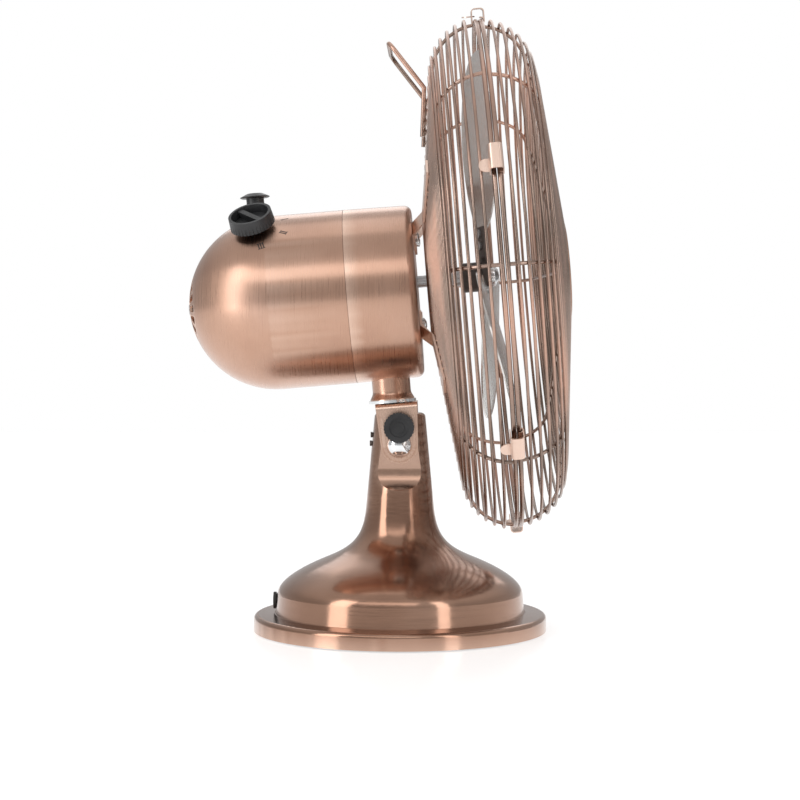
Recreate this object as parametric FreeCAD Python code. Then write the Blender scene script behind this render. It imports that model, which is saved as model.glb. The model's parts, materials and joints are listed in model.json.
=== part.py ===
"""Retro copper desk fan: pedestal, tilting and oscillating head, wire guard, rotor.

Millimetres. Row frame: origin at the centre of the pedestal's underside, +Z up,
+X the way the fan blows. The head is drawn in its own frame (u forward along the
shaft, y across, v up, origin at the guard's centre) and tilted into place.
"""
import FreeCAD
import Part
import math
import os

os.makedirs("parts", exist_ok=True)

V = FreeCAD.Vector
X = V(1, 0, 0)
Y = V(0, 1, 0)
Z = V(0, 0, 1)

# ---------------------------------------------------------------- clearances
RUN = 0.05            # radial running clearance of a shaft in its hole
GAP = 0.3             # face clearance between pieces that move past each other
TOUCH = 0.02          # clearance where two fixed pieces lie against each other

# ---------------------------------------------------------------- pedestal
BASE_R = 99.4         # foot flange radius
FLANGE_H = 11.9       # foot flange height
RIM_Z = 0.9           # flange rim above the table
SKIRT_IN = 14.8       # skirt wall set in from the flange edge
SKIRT_TOP = 26.0      # height where the skirt turns into the bell
COL_Z = 92.0          # height where the bell becomes the column
COL_R = 22.4          # column radius there
COL_TOP_R = 17.3      # column radius at its top
COL_TOP_ABOVE = 21.2  # column top above the tilt pivot
BELL = [(1.0, 0.0), (0.975, 0.061), (0.926, 0.115), (0.78, 0.214), (0.536, 0.327),
        (0.334, 0.409), (0.179, 0.503), (0.084, 0.615), (0.039, 0.729),
        (0.015, 0.853), (0.0, 1.0)]   # bell curve: fraction out from column, fraction up
WALL = 1.6            # pressed wall of the bell
BORE_R = 9.0          # cable bore up the column
PAD_H = 1.6           # non-slip pad
PAD_IN = 15.4         # pad edge in from the flange edge
COVER_T = 1.4         # base cover plate
WEIGHT_H = 10.0       # ballast ring
WEIGHT_IN = 8.6       # ballast edge in from the skirt
WEIGHT_BORE = 28.0
SCREW_R = 1.5         # M3 base screws
CORD_Z = 20.0         # cord inlet height
CORD_R = 3.2          # cord passage radius

# ---------------------------------------------------------------- tilt joint
PIVOT_Z = 127.0       # tilt pivot above the table
FLAT_Y = 14.7         # flats on the column, half distance
SCOOP_R = 18.0        # radius of the scoop under each flat
SCOOP_DROP = 16.0     # scoop centre below the pivot
CHEEK_T = 2.2         # yoke sheet
CHEEK_LOW = 12.5      # cheek end radius about the pivot
YOKE_HALF = 14.3      # half width of the yoke at its top
YOKE_TOP = 28.2       # yoke top face above the pivot
BOLT_R = 4.0          # tilt bolt
DOME_R = 7.9          # tilt bolt head
STUD_UP = 12.0        # clamp stud above the pivot
STUD_R = 2.5
KNOB_R = 10.2         # clamp knob
TILT_UP = 10.0        # head_tilt range, degrees
TILT_DOWN = 12.0

# ---------------------------------------------------------------- head placing
HEAD_TILT = 4.7       # nose-up angle as set
CAGE_AHEAD = 75.0     # guard centre ahead of the tilt pivot, along the shaft
CAGE_ABOVE = 108.5    # guard centre above the tilt pivot, across the shaft
POST_BACK = 2.65      # oscillation axis behind the tilt pivot
POST_R = 13.0         # neck post
SPINDLE_R = 5.0       # neck spindle
FOOT_R = 16.0         # bright disc under the post

# ---------------------------------------------------------------- housing
HOUSE_R = 58.8        # motor housing radius
HOUSE_DROP = 6.2      # housing axis below the shaft axis
HOUSE_T = 1.8
FACE_U = -54.4        # front face
SEAM_U = -100.0       # joint of front and rear shells
DOME_U = -151.0       # where the rear dome starts
VENTS = 18
VENT_IN = 11.0
VENT_OUT = 24.0
DIAL_LEAN = 31.0      # speed dial leans this far to the side
DIAL_BACK = 8.0       # and this far back
DIAL_R = 15.1
DIAL_H = 8.7
DIAL_LIFT = 2.2
PULL_BACK = 8.5       # oscillation knob behind the start of the dome
PULL_STAND = 16.9     # its top above the dome
PULL_R = 10.1
PULL_STEM = 6.0
PULL_ROD = 3.0
PULL_PUSH = 6.0       # how far it pushes in

# ---------------------------------------------------------------- motor
SHAFT_R = 4.0
STATOR_AIR = 6.8      # least space between stator and housing
STATOR_WEB = 19.0     # radial depth of the stator ring
STATOR_F = -76.0
STATOR_B = -104.0
BRACKET_T = 3.0
BEARING_R = 8.0
AIR_GAP = 0.6

# ---------------------------------------------------------------- gearbox
MODULE = 1.0
WHEEL_TEETH = 24
WORM_U = -136.0       # worm and wheel centre plane
WORM_PR = 5.0         # worm pitch radius
WORM_ROOT = 4.3
CRANK_R = 4.0         # crank pin offset
LINK_LIFT = 2.4       # crank link above the post
LINK_T = 2.0
NOSE_R = 3.0          # spindle nose inside the link's eye

# ---------------------------------------------------------------- guard
HOOP_R = 169.6        # hoop centre-line radius
HOOP_WIRE = 1.5
HOOP_HALF = 1.7       # hoops each side of the split plane
RIM_IN = 33.1         # centre of the rim arc in from the hoop
ARC_REAR = 35.0       # rim arc radius of the rear ring centres
ARC_FRONT = 33.5      # and of the front ones
CONE_REAR = 6.7       # slope of the rear face, degrees
CONE_FRONT = 6.9
WIRE = 1.0            # ring wire radius
RIB = 1.2             # rib wire radius
WELD = 0.3            # how far rings sink into ribs
PITCH_REAR = 6.55     # ring pitch along the rear profile
PITCH_RIM = 6.8       # ring pitch around the front rim
PITCH_FRONT = 8.4     # ring pitch on the front face
RIBS = 8
REAR_IN = 36.0        # innermost rear ring
INNER_CLEAR = 2.0     # the other rings stop this far outside it
BADGE_R = 33.0
CLIPS = 6             # lever clips around the hoops
CLIP_FIRST = 8.6      # first clip, degrees from the top towards -Y
CLIP_L = 16.5         # clip length along the hoop
CLIP_T = 0.7          # clip sheet
CLIP_OUT = 8.4        # clip roof above the hoop centre
CLIP_LIP = 1.3        # clip lip below the hoop centre
CLIP_CATCH = 0.4      # lip clear of the rear hoop
CLIP_BEND = 2.6       # outer bend radius of the clip's roof
TAB_W = 8.6           # thumb tab
TAB_BACK = 10.6       # tab end behind the split plane
HANDLE_W = 64.0       # carry handle leg spacing
HANDLE_WIRE = 1.5
HANDLE_FOOT = 75.6    # handle leg foot in from the hoop, along v
HANDLE_BEND = 43.6    # handle bend in from the hoop
HANDLE_BACK = 21.0    # handle tip behind its bend
HANDLE_RISE = 32.0    # handle tip above its bend
STRAP_W = 12.0
STRAP_T = 1.5
STRAP_TOP = 100.0     # strap end on the rear face
SCREW_IN = 3.4        # bracket screw circle inside the stator edge

# ---------------------------------------------------------------- rotor
TIP_CLEAR = 18.6      # blade tip inside the hoop's centre line
BLADE_TIP = HOOP_R - TIP_CLEAR
BLADE_DRAWN = 151.0   # tip radius the blade outline is drawn at
BLADE_T = 1.0
ROOT_PITCH = 16.0
HUB_R = 10.0
HUB_B = -24.7
HUB_F = -9.5
FLANGE_R = 13.0
SPIDER_F = -4.7
ARM_U = -7.6          # blade root centre plane
ARM_T = 1.6


# ================================================================ helpers
def cyl(r, p, q):
    """Cylinder of radius r from p to q."""
    d = q.sub(p)
    return Part.makeCylinder(r, d.Length, p, d)


def tube(ro, ri, p, q):
    """Tube between p and q."""
    return cyl(ro, p, q).cut(cyl(ri, p, q))


def box(x0, x1, y0, y1, z0, z1):
    """Axis-aligned box from its limits."""
    return Part.makeBox(x1 - x0, y1 - y0, z1 - z0, V(x0, y0, z0))


def turned(shape, axis, deg):
    """Copy turned about an axis through the origin."""
    s = shape.copy()
    s.rotate(V(0, 0, 0), axis, deg)
    return s


def moved(shape, x, y, z):
    """Copy moved."""
    s = shape.copy()
    s.translate(V(x, y, z))
    return s


def fuse(shapes):
    """One solid from overlapping shapes."""
    s = shapes[0].multiFuse(shapes[1:]) if len(shapes) > 1 else shapes[0]
    return s.removeSplitter()


def corner(a, b, c, r):
    """Tangent points and mid point of a round of radius r at b."""
    p = a.sub(b).normalize()
    q = c.sub(b).normalize()
    half = p.getAngle(q) / 2.0
    t = r / math.tan(half)
    m = p.add(q).normalize()
    return b + p * t, b + m * (r / math.sin(half) - r), b + q * t


def wire_of(pts, place):
    """Closed wire through (a, b) or (a, b, round) points."""
    n = len(pts)
    raw = [place(p[0], p[1]) for p in pts]
    rnd = [p[2] if len(p) > 2 else 0 for p in pts]
    ends = []
    for i in range(n):
        if rnd[i] > 0:
            ends.append(corner(raw[i - 1], raw[i], raw[(i + 1) % n], rnd[i]))
        else:
            ends.append((raw[i], None, raw[i]))
    edges = []
    for i in range(n):
        a, m, b = ends[i]
        if m is not None:
            edges.append(Part.Arc(a, m, b).toShape())
        c = ends[(i + 1) % n][0]
        if b.distanceToPoint(c) > 1e-6:
            edges.append(Part.LineSegment(b, c).toShape())
    return Part.Wire(edges)


def rz(a, b):
    """Profile plane for turning about Z."""
    return V(a, 0, b)


def ur(a, b):
    """Profile plane for turning about the shaft."""
    return V(a, 0, b)


def yz(a, b):
    """Profile plane across X."""
    return V(0, a, b)


def turn_z(pts):
    """Solid of revolution about Z from (r, z) points."""
    return Part.Face(wire_of(pts, rz)).revolve(V(0, 0, 0), Z, 360)


def turn_x(pts, drop=0.0):
    """Solid of revolution about the shaft line from (u, r) points."""
    s = Part.Face(wire_of(pts, ur)).revolve(V(0, 0, 0), X, 360)
    s.translate(V(0, 0, -drop))
    return s


def prism_x(pts, x0, x1):
    """Prism along X from (y, z) points."""
    f = Part.Face(wire_of(pts, yz))
    f.translate(V(x0, 0, 0))
    return f.extrude(V(x1 - x0, 0, 0))


def prism_y(pts, y0, y1):
    """Prism along Y from (x, z) points."""
    f = Part.Face(wire_of(pts, rz))
    f.translate(V(0, y0, 0))
    return f.extrude(V(0, y1 - y0, 0))


def to_world(shape):
    """Head frame to row frame."""
    s = shape.copy()
    s.translate(V(CAGE_AHEAD, 0, CAGE_ABOVE))
    s.rotate(V(0, 0, 0), Y, -HEAD_TILT)
    s.translate(V(0, 0, PIVOT_Z))
    return s


def save(name, shape):
    """Write one node."""
    solids = shape.Solids
    out = solids[0] if len(solids) == 1 else Part.makeCompound(solids)
    out.exportStep("parts/" + name + ".step")


def save_head(name, shape):
    """Write one node drawn in the head frame."""
    save(name, to_world(shape))


def polar(n, start=0.0):
    """n equally spaced angles."""
    return [start + 360.0 * i / n for i in range(n)]


def around(shape, angles):
    """Copies turned about the shaft."""
    return Part.makeCompound([turned(shape, X, -a) for a in angles])


# ================================================================ pedestal
SKIRT_R = BASE_R - SKIRT_IN
WEIGHT_R = SKIRT_R - WEIGHT_IN
PAD_R = BASE_R - PAD_IN
COL_TOP = PIVOT_Z + COL_TOP_ABOVE
PLATE_Z = PAD_H + COVER_T


def skirt_r(z):
    """Skirt radius at a height."""
    return SKIRT_R - 1.2 * (z - FLANGE_H) / (SKIRT_TOP - FLANGE_H)


def bell_points(count, shift):
    """Points on the bell curve, moved inward by shift."""
    r1 = skirt_r(SKIRT_TOP)
    out = []
    for f, h in BELL[:count]:
        r = COL_R + f * (r1 - COL_R)
        z = SKIRT_TOP + h * (COL_Z - SKIRT_TOP)
        out.append(V(r - shift, 0, z - shift))
    return out


def bell_edge(pts):
    """Smooth edge through the bell points."""
    c = Part.BSplineCurve()
    c.interpolate(pts)
    return c.toShape()


def lines(pts):
    """Straight edges through points."""
    return [Part.LineSegment(a, b).toShape() for a, b in zip(pts, pts[1:])]


def pedestal_outer():
    """Flange, skirt, bell and column as one turned solid."""
    bell = bell_points(len(BELL), 0.0)
    e = FLANGE_H - 3.2
    a = V(BASE_R, 0, RIM_Z)
    b = V(BASE_R, 0, e)
    m = V(BASE_R - 0.9, 0, e + 2.25)
    c = V(BASE_R - 3.2, 0, FLANGE_H - 0.1)
    d = V(SKIRT_R + 0.9, 0, FLANGE_H + 0.6)
    g = V(SKIRT_R + 0.5, 0, FLANGE_H + 0.2)
    h = V(SKIRT_R, 0, FLANGE_H + 0.6)
    top = V(COL_TOP_R, 0, COL_TOP - 3.0)
    mid = V(COL_TOP_R - 0.9, 0, COL_TOP - 0.9)
    flat = V(COL_TOP_R - 3.1, 0, COL_TOP)
    edges = lines([V(0, 0, RIM_Z), a, b])
    edges.append(Part.Arc(b, m, c).toShape())
    edges += lines([c, d, g, h, bell[0]])
    edges.append(bell_edge(bell))
    edges += lines([bell[-1], top])
    edges.append(Part.Arc(top, mid, flat).toShape())
    edges += lines([flat, V(0, 0, COL_TOP), V(0, 0, RIM_Z)])
    return Part.Face(Part.Wire(edges)).revolve(V(0, 0, 0), Z, 360)


def pedestal_inner():
    """Hollow under the flange and bell, and the cable bore."""
    bell = bell_points(8, WALL)
    r0 = BASE_R - 2.4
    roof = FLANGE_H - 2.5
    edges = lines([V(0, 0, -1), V(r0, 0, -1), V(r0, 0, roof), V(SKIRT_R - 2.2, 0, roof), bell[0]])
    edges.append(bell_edge(bell))
    top = bell[-1].z + 10.0
    edges += lines([bell[-1], V(BORE_R, 0, top), V(BORE_R, 0, COL_TOP + 1),
                    V(0, 0, COL_TOP + 1), V(0, 0, -1)])
    return Part.Face(Part.Wire(edges)).revolve(V(0, 0, 0), Z, 360)


def column_flats():
    """Cutter for one flat and the scoop under it."""
    zc = PIVOT_Z - SCOOP_DROP
    wide = COL_R + 6
    slab = box(-wide, wide, -FLAT_Y - 2 * SCOOP_R, -FLAT_Y, zc, COL_TOP + 2)
    yc = -FLAT_Y - SCOOP_R
    scoop = cyl(SCOOP_R, V(-wide, yc, zc), V(wide, yc, zc))
    return slab.fuse(scoop)


BOSS_PCR = (BASE_R - 2.4 + SKIRT_R - 2.2) / 2.0
WEIGHT_PCR = (WEIGHT_R + WEIGHT_BORE) / 2.0


def base_screw_spots():
    """Base screw positions: four in the flange, three in the ballast."""
    rim = [(BOSS_PCR * math.cos(math.radians(a)), BOSS_PCR * math.sin(math.radians(a)))
           for a in polar(4, 45)]
    mid = [(WEIGHT_PCR * math.cos(math.radians(a)), WEIGHT_PCR * math.sin(math.radians(a)))
           for a in polar(3, 0)]
    return rim, mid


def neck_screw_heights():
    """Heights of the two small screws at the back of the column."""
    return (PIVOT_Z + 0.3, PIVOT_Z + 6.1)


def column_r(z):
    """Column radius at a height."""
    return COL_R + (COL_TOP_R - COL_R) * (z - COL_Z) / (COL_TOP - COL_Z)


def pedestal():
    """Trumpet pedestal."""
    s = pedestal_outer().cut(pedestal_inner())
    rim, mid = base_screw_spots()
    bosses = [cyl(4.0, V(x, y, PLATE_Z), V(x, y, FLANGE_H - 2.0)) for x, y in rim]
    s = s.multiFuse(bosses)
    cut = column_flats()
    other = cut.mirror(V(0, 0, 0), Y)
    tools = [cut, other]
    tools.append(cyl(BOLT_R + TOUCH, V(0, -40, PIVOT_Z), V(0, 40, PIVOT_Z)))
    zs = PIVOT_Z + STUD_UP
    tools.append(cyl(STUD_R, V(0, -40, zs), V(0, 0, zs)))
    for z in neck_screw_heights():
        tools.append(cyl(1.2, V(-40, 0, z), V(0, 0, z)))
    tools.append(cyl(CORD_R + 1.3, V(-BASE_R, 0, CORD_Z), V(-BASE_R + 30, 0, CORD_Z)))
    for x, y in rim:
        tools.append(cyl(SCREW_R, V(x, y, 0), V(x, y, PLATE_Z + 6)))
    return s.cut(Part.makeCompound(tools))


def base_cover():
    """Steel plate that closes the pedestal."""
    s = cyl(BASE_R - 2.6, V(0, 0, PAD_H), V(0, 0, PLATE_Z))
    rim, mid = base_screw_spots()
    holes = [cyl(SCREW_R + 0.1, V(x, y, 0), V(x, y, 9)) for x, y in rim + mid]
    return s.cut(Part.makeCompound(holes))


def base_pad():
    """Felt pad with windows for the ballast screws."""
    s = cyl(PAD_R, V(0, 0, 0), V(0, 0, PAD_H))
    rim, mid = base_screw_spots()
    holes = [cyl(4.0, V(x, y, -1), V(x, y, 3)) for x, y in mid]
    return s.cut(Part.makeCompound(holes))


def base_weight():
    """Cast-iron ballast ring."""
    s = tube(WEIGHT_R, WEIGHT_BORE, V(0, 0, PLATE_Z), V(0, 0, PLATE_Z + WEIGHT_H))
    rim, mid = base_screw_spots()
    holes = [cyl(SCREW_R, V(x, y, 0), V(x, y, PLATE_Z + 7)) for x, y in mid]
    return s.cut(Part.makeCompound(holes))


def base_screws():
    """Seven pan-head screws from below."""
    rim, mid = base_screw_spots()
    out = []
    for x, y in rim + mid:
        head = cyl(3.1, V(x, y, 0.3), V(x, y, PAD_H))
        shank = cyl(SCREW_R, V(x, y, PAD_H), V(x, y, PLATE_Z + 5))
        slot = box(x - 4, x + 4, y - 0.4, y + 0.4, 0.2, 0.9)
        out.append(head.fuse(shank).cut(slot))
    return Part.makeCompound(out)


def cord_grommet():
    """Rubber gland in the skirt where the supply cord enters."""
    r = CORD_R + 1.3
    xo = -skirt_r(CORD_Z - r - 1.2) - TOUCH
    xi = -SKIRT_R + 3.2
    body = cyl(r, V(xo - 1.8, 0, CORD_Z), V(xi + 1.6, 0, CORD_Z))
    outer = cyl(r + 1.2, V(xo - 1.8, 0, CORD_Z), V(xo, 0, CORD_Z))
    inner = cyl(r + 0.7, V(xi, 0, CORD_Z), V(xi + 1.6, 0, CORD_Z))
    bore = cyl(CORD_R, V(xo - 5, 0, CORD_Z), V(xi + 5, 0, CORD_Z))
    return fuse([body, outer, inner]).cut(bore)


def neck_screws():
    """Two small screws at the back of the column."""
    out = []
    for z in neck_screw_heights():
        x = -column_r(z)
        head = cyl(1.9, V(x - 1.3, 0, z), V(x + 0.1, 0, z))
        shank = cyl(1.2, V(x + 0.1, 0, z), V(-BORE_R - 1, 0, z))
        out.append(head.fuse(shank))
    return Part.makeCompound(out)


def neck_screw_seats():
    """Flat seats for the neck screw heads."""
    out = []
    for z in neck_screw_heights():
        x = -column_r(z)
        out.append(cyl(1.9 + TOUCH, V(x - 3, 0, z), V(x + 0.1, 0, z)))
    return Part.makeCompound(out)


# ================================================================ tilt joint
CHEEK_IN = FLAT_Y + GAP
CHEEK_OUT = CHEEK_IN + CHEEK_T
WASHER_Y = CHEEK_OUT + 0.1
HEAD_Y = WASHER_Y + 0.8


def at_pivot(shape):
    """From pivot-centred coordinates, level, to the row frame."""
    return moved(shape, 0, 0, PIVOT_Z)


def tilt_bolt():
    """Through bolt with a polished dome head."""
    h = 4.6
    ball = (DOME_R * DOME_R + h * h) / (2 * h)
    cap = Part.makeSphere(ball, V(0, -HEAD_Y - 0.8 - h + ball, 0))
    keep = box(-20, 20, -HEAD_Y - 20, -HEAD_Y - 0.8, -20, 20)
    dome = cap.common(keep)
    rim = cyl(DOME_R, V(0, -HEAD_Y - 0.8, 0), V(0, -HEAD_Y, 0))
    shank = cyl(BOLT_R, V(0, -HEAD_Y, 0), V(0, HEAD_Y + 5.0, 0))
    return at_pivot(fuse([dome, rim, shank]))


def tilt_nut():
    """Domed nut on the far side."""
    hexa = [(7.2 * math.cos(math.radians(a)), 7.2 * math.sin(math.radians(a)))
            for a in polar(6, 0)]
    nut = prism_y(hexa, HEAD_Y, HEAD_Y + 5.5)
    top = Part.makeSphere(6.0, V(0, HEAD_Y + 4.2, 0))
    top = top.common(box(-9, 9, HEAD_Y + 5.0, HEAD_Y + 12, -9, 9))
    hole = cyl(BOLT_R, V(0, HEAD_Y - 1, 0), V(0, HEAD_Y + 5.0, 0))
    return at_pivot(fuse([nut, top]).cut(hole))


def tilt_washers():
    """Washers under the bolt head, the nut and the clamp knob."""
    near = tube(7.4, BOLT_R + TOUCH, V(0, -HEAD_Y, 0), V(0, -WASHER_Y, 0))
    far = tube(7.4, BOLT_R + TOUCH, V(0, WASHER_Y, 0), V(0, HEAD_Y, 0))
    clamp = tube(3.7, STUD_R + TOUCH, V(0, -HEAD_Y, STUD_UP), V(0, -WASHER_Y, STUD_UP))
    return at_pivot(Part.makeCompound([near, far, clamp]))


KNOB_BACK = HEAD_Y + 0.8 + 4.6 + 0.6
KNOB_FRONT = KNOB_BACK + 7.2


def clamp_stud():
    """Threaded stud fixed in the column."""
    s = cyl(STUD_R, V(0, -KNOB_FRONT + 2.0, STUD_UP), V(0, -BORE_R - 1.0, STUD_UP))
    return at_pivot(s)


def scalloped(r, depth, teeth, y0, y1):
    """Knurled drum about Y."""
    drum = cyl(r, V(0, y0, 0), V(0, y1, 0))
    cuts = []
    for a in polar(teeth):
        t = math.radians(a)
        x = (r + 0.45) * math.cos(t)
        z = (r + 0.45) * math.sin(t)
        cuts.append(cyl(depth, V(x, y0 - 1, z), V(x, y1 + 1, z)))
    return drum.cut(Part.makeCompound(cuts))


def tilt_knob():
    """Knurled clamp knob with a blind threaded bore."""
    disc = scalloped(KNOB_R, 0.85, 28, -KNOB_FRONT, -KNOB_BACK)
    boss = cyl(3.6, V(0, -KNOB_BACK - 0.5, 0), V(0, -HEAD_Y - GAP, 0))
    s = fuse([disc, boss])
    s = s.cut(cyl(6.4, V(0, -KNOB_FRONT - 1, 0), V(0, -KNOB_FRONT + 0.9, 0)))
    hub = cyl(3.6, V(0, -KNOB_FRONT + 0.2, 0), V(0, -KNOB_FRONT + 1.2, 0))
    s = fuse([s, hub])
    bore = cyl(STUD_R + RUN, V(0, -KNOB_FRONT + 1.7, 0), V(0, 0, 0))
    return at_pivot(moved(s.cut(bore), 0, 0, STUD_UP))


def cheek_outline(inset):
    """Outline of the cheek, inset from its edge: tangents from the top to the round end."""
    r = CHEEK_LOW - inset
    tx = YOKE_HALF - inset
    tz = YOKE_TOP + 2
    d = math.hypot(tx, tz)
    a = math.atan2(tz, tx) - math.acos(r / d)
    px = r * math.cos(a)
    pz = r * math.sin(a)
    edges = lines([V(px, 0, pz), V(tx, 0, tz), V(-tx, 0, tz), V(-px, 0, pz)])
    edges.append(Part.Arc(V(-px, 0, pz), V(0, 0, -r), V(px, 0, pz)).toShape())
    return Part.Face(Part.Wire(edges))


def slab_y(face, y0, y1):
    """Extrude a face that lies in XZ between two y values."""
    f = face.copy()
    f.translate(V(0, y0, 0))
    return f.extrude(V(0, y1 - y0, 0))


def arc_slot():
    """Curved slot that the clamp stud slides along."""
    lo = 90.0 - HEAD_TILT - TILT_UP - 1.5
    hi = 90.0 - HEAD_TILT + TILT_DOWN + 1.5
    half = STUD_R + GAP
    ring = tube(STUD_UP + half, STUD_UP - half, V(0, -CHEEK_OUT - 3, 0), V(0, -CHEEK_IN + 3, 0))
    a = math.radians(lo)
    b = math.radians(hi)
    far = 40.0
    wedge = [(0, 0), (far * math.cos(a), far * math.sin(a)), (far * math.cos(b), far * math.sin(b))]
    part = ring.common(prism_y(wedge, -CHEEK_OUT - 3, -CHEEK_IN + 3))
    ends = []
    for t in (a, b):
        x = STUD_UP * math.cos(t)
        z = STUD_UP * math.sin(t)
        ends.append(cyl(half, V(x, -CHEEK_OUT - 3, z), V(x, -CHEEK_IN + 3, z)))
    return fuse([part] + ends)


def tilt_yoke():
    """Bent sheet yoke: top plate, two tapered cheeks, raised beads."""
    o = CHEEK_OUT
    i = CHEEK_IN
    t = YOKE_TOP
    low = -CHEEK_LOW - 2
    u_shape = [(-o, low), (-o, t, 4.0), (o, t, 4.0), (o, low), (i, low),
               (i, t - CHEEK_T + 0.2, 2.0), (-i, t - CHEEK_T + 0.2, 2.0), (-i, low)]
    body = prism_x(u_shape, -YOKE_HALF - 2, YOKE_HALF + 2)
    body = body.common(slab_y(cheek_outline(0.0), -o - 1, o + 1))
    ring = cheek_outline(1.6).cut(cheek_outline(3.8))
    beads = []
    for y0, y1 in ((-o - 1.0, -o + 0.2), (o - 0.2, o + 1.0)):
        bead = slab_y(ring, y0, y1)
        beads.append(bead.common(box(-40, 40, y0, y1, -40, 19.0)))
    s = fuse([body] + beads)
    s = s.cut(cyl(BOLT_R + RUN, V(0, -o - 3, 0), V(0, o + 3, 0)))
    s = s.cut(arc_slot())
    s = s.cut(cyl(SPINDLE_R, V(-POST_BACK, 0, t - 8), V(-POST_BACK, 0, t + 4)))
    return s


def yoke_world(shape):
    """Pivot-centred head-frame shape to the row frame."""
    s = turned(shape, Y, -HEAD_TILT)
    return at_pivot(s)


PLATE_LOW = YOKE_TOP - CHEEK_T + 0.2
STATOR_R = HOUSE_R - HOUSE_T - HOUSE_DROP - STATOR_AIR
STATOR_BORE = STATOR_R - STATOR_WEB
SCREW_PCR = STATOR_R - SCREW_IN
POST_U = -CAGE_AHEAD - POST_BACK
POST_V0 = -CAGE_ABOVE + YOKE_TOP + GAP
POST_V1 = POST_V0 + 1.8
INNER_R = HOUSE_R - HOUSE_T
SADDLE_Y = 19.0
SADDLE_V = -HOUSE_DROP - math.sqrt(INNER_R ** 2 - SADDLE_Y ** 2) + 1.0
POST_TOP = SADDLE_V + 2.6
LINK_V = POST_TOP + LINK_LIFT


def neck_spindle():
    """Steel spindle riveted into the yoke; the head turns on it."""
    a = POST_U
    low = -CAGE_ABOVE + PLATE_LOW
    head = cyl(6.5, V(a, 0, low - 1.2), V(a, 0, low))
    body = cyl(SPINDLE_R, V(a, 0, low), V(a, 0, POST_TOP + 1.2))
    nose = cyl(NOSE_R, V(a, 0, POST_TOP + 1.2), V(a, 0, LINK_V + LINK_T + 1.6))
    return fuse([head, body, nose])


def spindle_clip():
    """Retaining ring above the post."""
    a = POST_U
    s = tube(7.5, SPINDLE_R, V(a, 0, POST_TOP + GAP), V(a, 0, POST_TOP + GAP + 0.8))
    return s.cut(box(a - 9, a - 3, -1.5, 1.5, POST_TOP, POST_TOP + 3))


# ================================================================ neck of the head
def neck_disc():
    """Bright disc between yoke and post."""
    return tube(FOOT_R, SPINDLE_R + RUN, V(POST_U, 0, POST_V0), V(POST_U, 0, POST_V1))


def neck_post():
    """Post with flared foot and the saddle that carries the motor."""
    v0 = POST_V1
    pts = [(0, v0), (POST_R + 2.0, v0), (POST_R + 1.9, v0 + 0.8), (POST_R, v0 + 4.5, 5.0),
           (POST_R, SADDLE_V + 1), (0, SADDLE_V + 1)]
    post = moved(turn_z(pts), POST_U, 0, 0)
    plate = box(POST_U - 13, POST_U + 13, -SADDLE_Y, SADDLE_Y, SADDLE_V, POST_TOP)
    walls = []
    for s in (-1, 1):
        y0 = min(s * 15.5, s * SADDLE_Y)
        walls.append(box(POST_U - 12, POST_U + 12, y0, y0 + 3.5, POST_TOP - 1, -36))
    body = fuse([post, plate] + walls)
    body = body.cut(cyl(STATOR_R + TOUCH, V(-140, 0, 0), V(-50, 0, 0)))
    return body.cut(cyl(SPINDLE_R + RUN, V(POST_U, 0, v0 - 1), V(POST_U, 0, POST_TOP + 1)))


# ================================================================ housing
PULL_U = DOME_U - PULL_BACK
PULL_DOME = math.sqrt(HOUSE_R ** 2 - PULL_BACK ** 2) - HOUSE_DROP
PULL_TOP = PULL_DOME + PULL_STAND
STEM_LOW = PULL_DOME - 12.0
SOCKET_TOP = STEM_LOW - PULL_PUSH - 4.0


def screw_circle(r, angles):
    """(y, v) places on a circle about the shaft, angle from the top towards -Y."""
    return [(-r * math.sin(math.radians(a)), r * math.cos(math.radians(a))) for a in angles]


def front_housing():
    """Front shell with its flat face."""
    r = HOUSE_R
    t = HOUSE_T
    pts = [(FACE_U, 0), (FACE_U, r - 0.6, 5.0), (SEAM_U, r), (SEAM_U, r - t),
           (FACE_U - t, r - t - 0.6, 3.2), (FACE_U - t, 0)]
    s = turn_x(pts, HOUSE_DROP)
    tools = [cyl(BEARING_R + 1.5, V(FACE_U - 5, 0, 0), V(FACE_U + 5, 0, 0))]
    for y, v in screw_circle(SCREW_PCR, polar(4, 45)):
        tools.append(cyl(1.95, V(FACE_U - 5, y, v), V(FACE_U + 5, y, v)))
    tools.append(cyl(POST_R + 0.2, V(POST_U, 0, -80), V(POST_U, 0, -50)))
    return s.cut(Part.makeCompound(tools))


def dome_profile(r):
    """Closed (u, r) profile edges of a cylinder ending in a hemisphere."""
    k = math.sqrt(0.5)
    a = V(SEAM_U - 0.3, 0, 0)
    b = V(SEAM_U - 0.3, 0, r)
    c = V(DOME_U, 0, r)
    m = V(DOME_U - r * k, 0, r * k)
    d = V(DOME_U - r, 0, 0)
    edges = lines([a, b, c])
    edges.append(Part.Arc(c, m, d).toShape())
    edges += lines([d, a])
    s = Part.Face(Part.Wire(edges)).revolve(V(0, 0, 0), X, 360)
    s.translate(V(0, 0, -HOUSE_DROP))
    return s


def vent_cutters():
    """Sunburst of tapered slots in the rear dome."""
    pts = [(-1.1, VENT_IN), (-2.6, VENT_OUT, 1.2), (2.6, VENT_OUT, 1.2), (1.1, VENT_IN)]
    slot = prism_x(pts, DOME_U - HOUSE_R - 5, DOME_U - HOUSE_R + 12)
    s = around(slot, polar(VENTS, 10))
    return moved(s, 0, 0, -HOUSE_DROP)


def dial_axis():
    """Unit vector of the speed dial, in the head frame."""
    b = math.radians(DIAL_BACK)
    s = math.radians(DIAL_LEAN)
    return V(-math.sin(b), -math.cos(b) * math.sin(s), math.cos(b) * math.cos(s))


def dial_point(dist):
    """Point on the dial axis at a distance from the dome centre."""
    return V(DOME_U, 0, -HOUSE_DROP) + dial_axis() * dist


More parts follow.
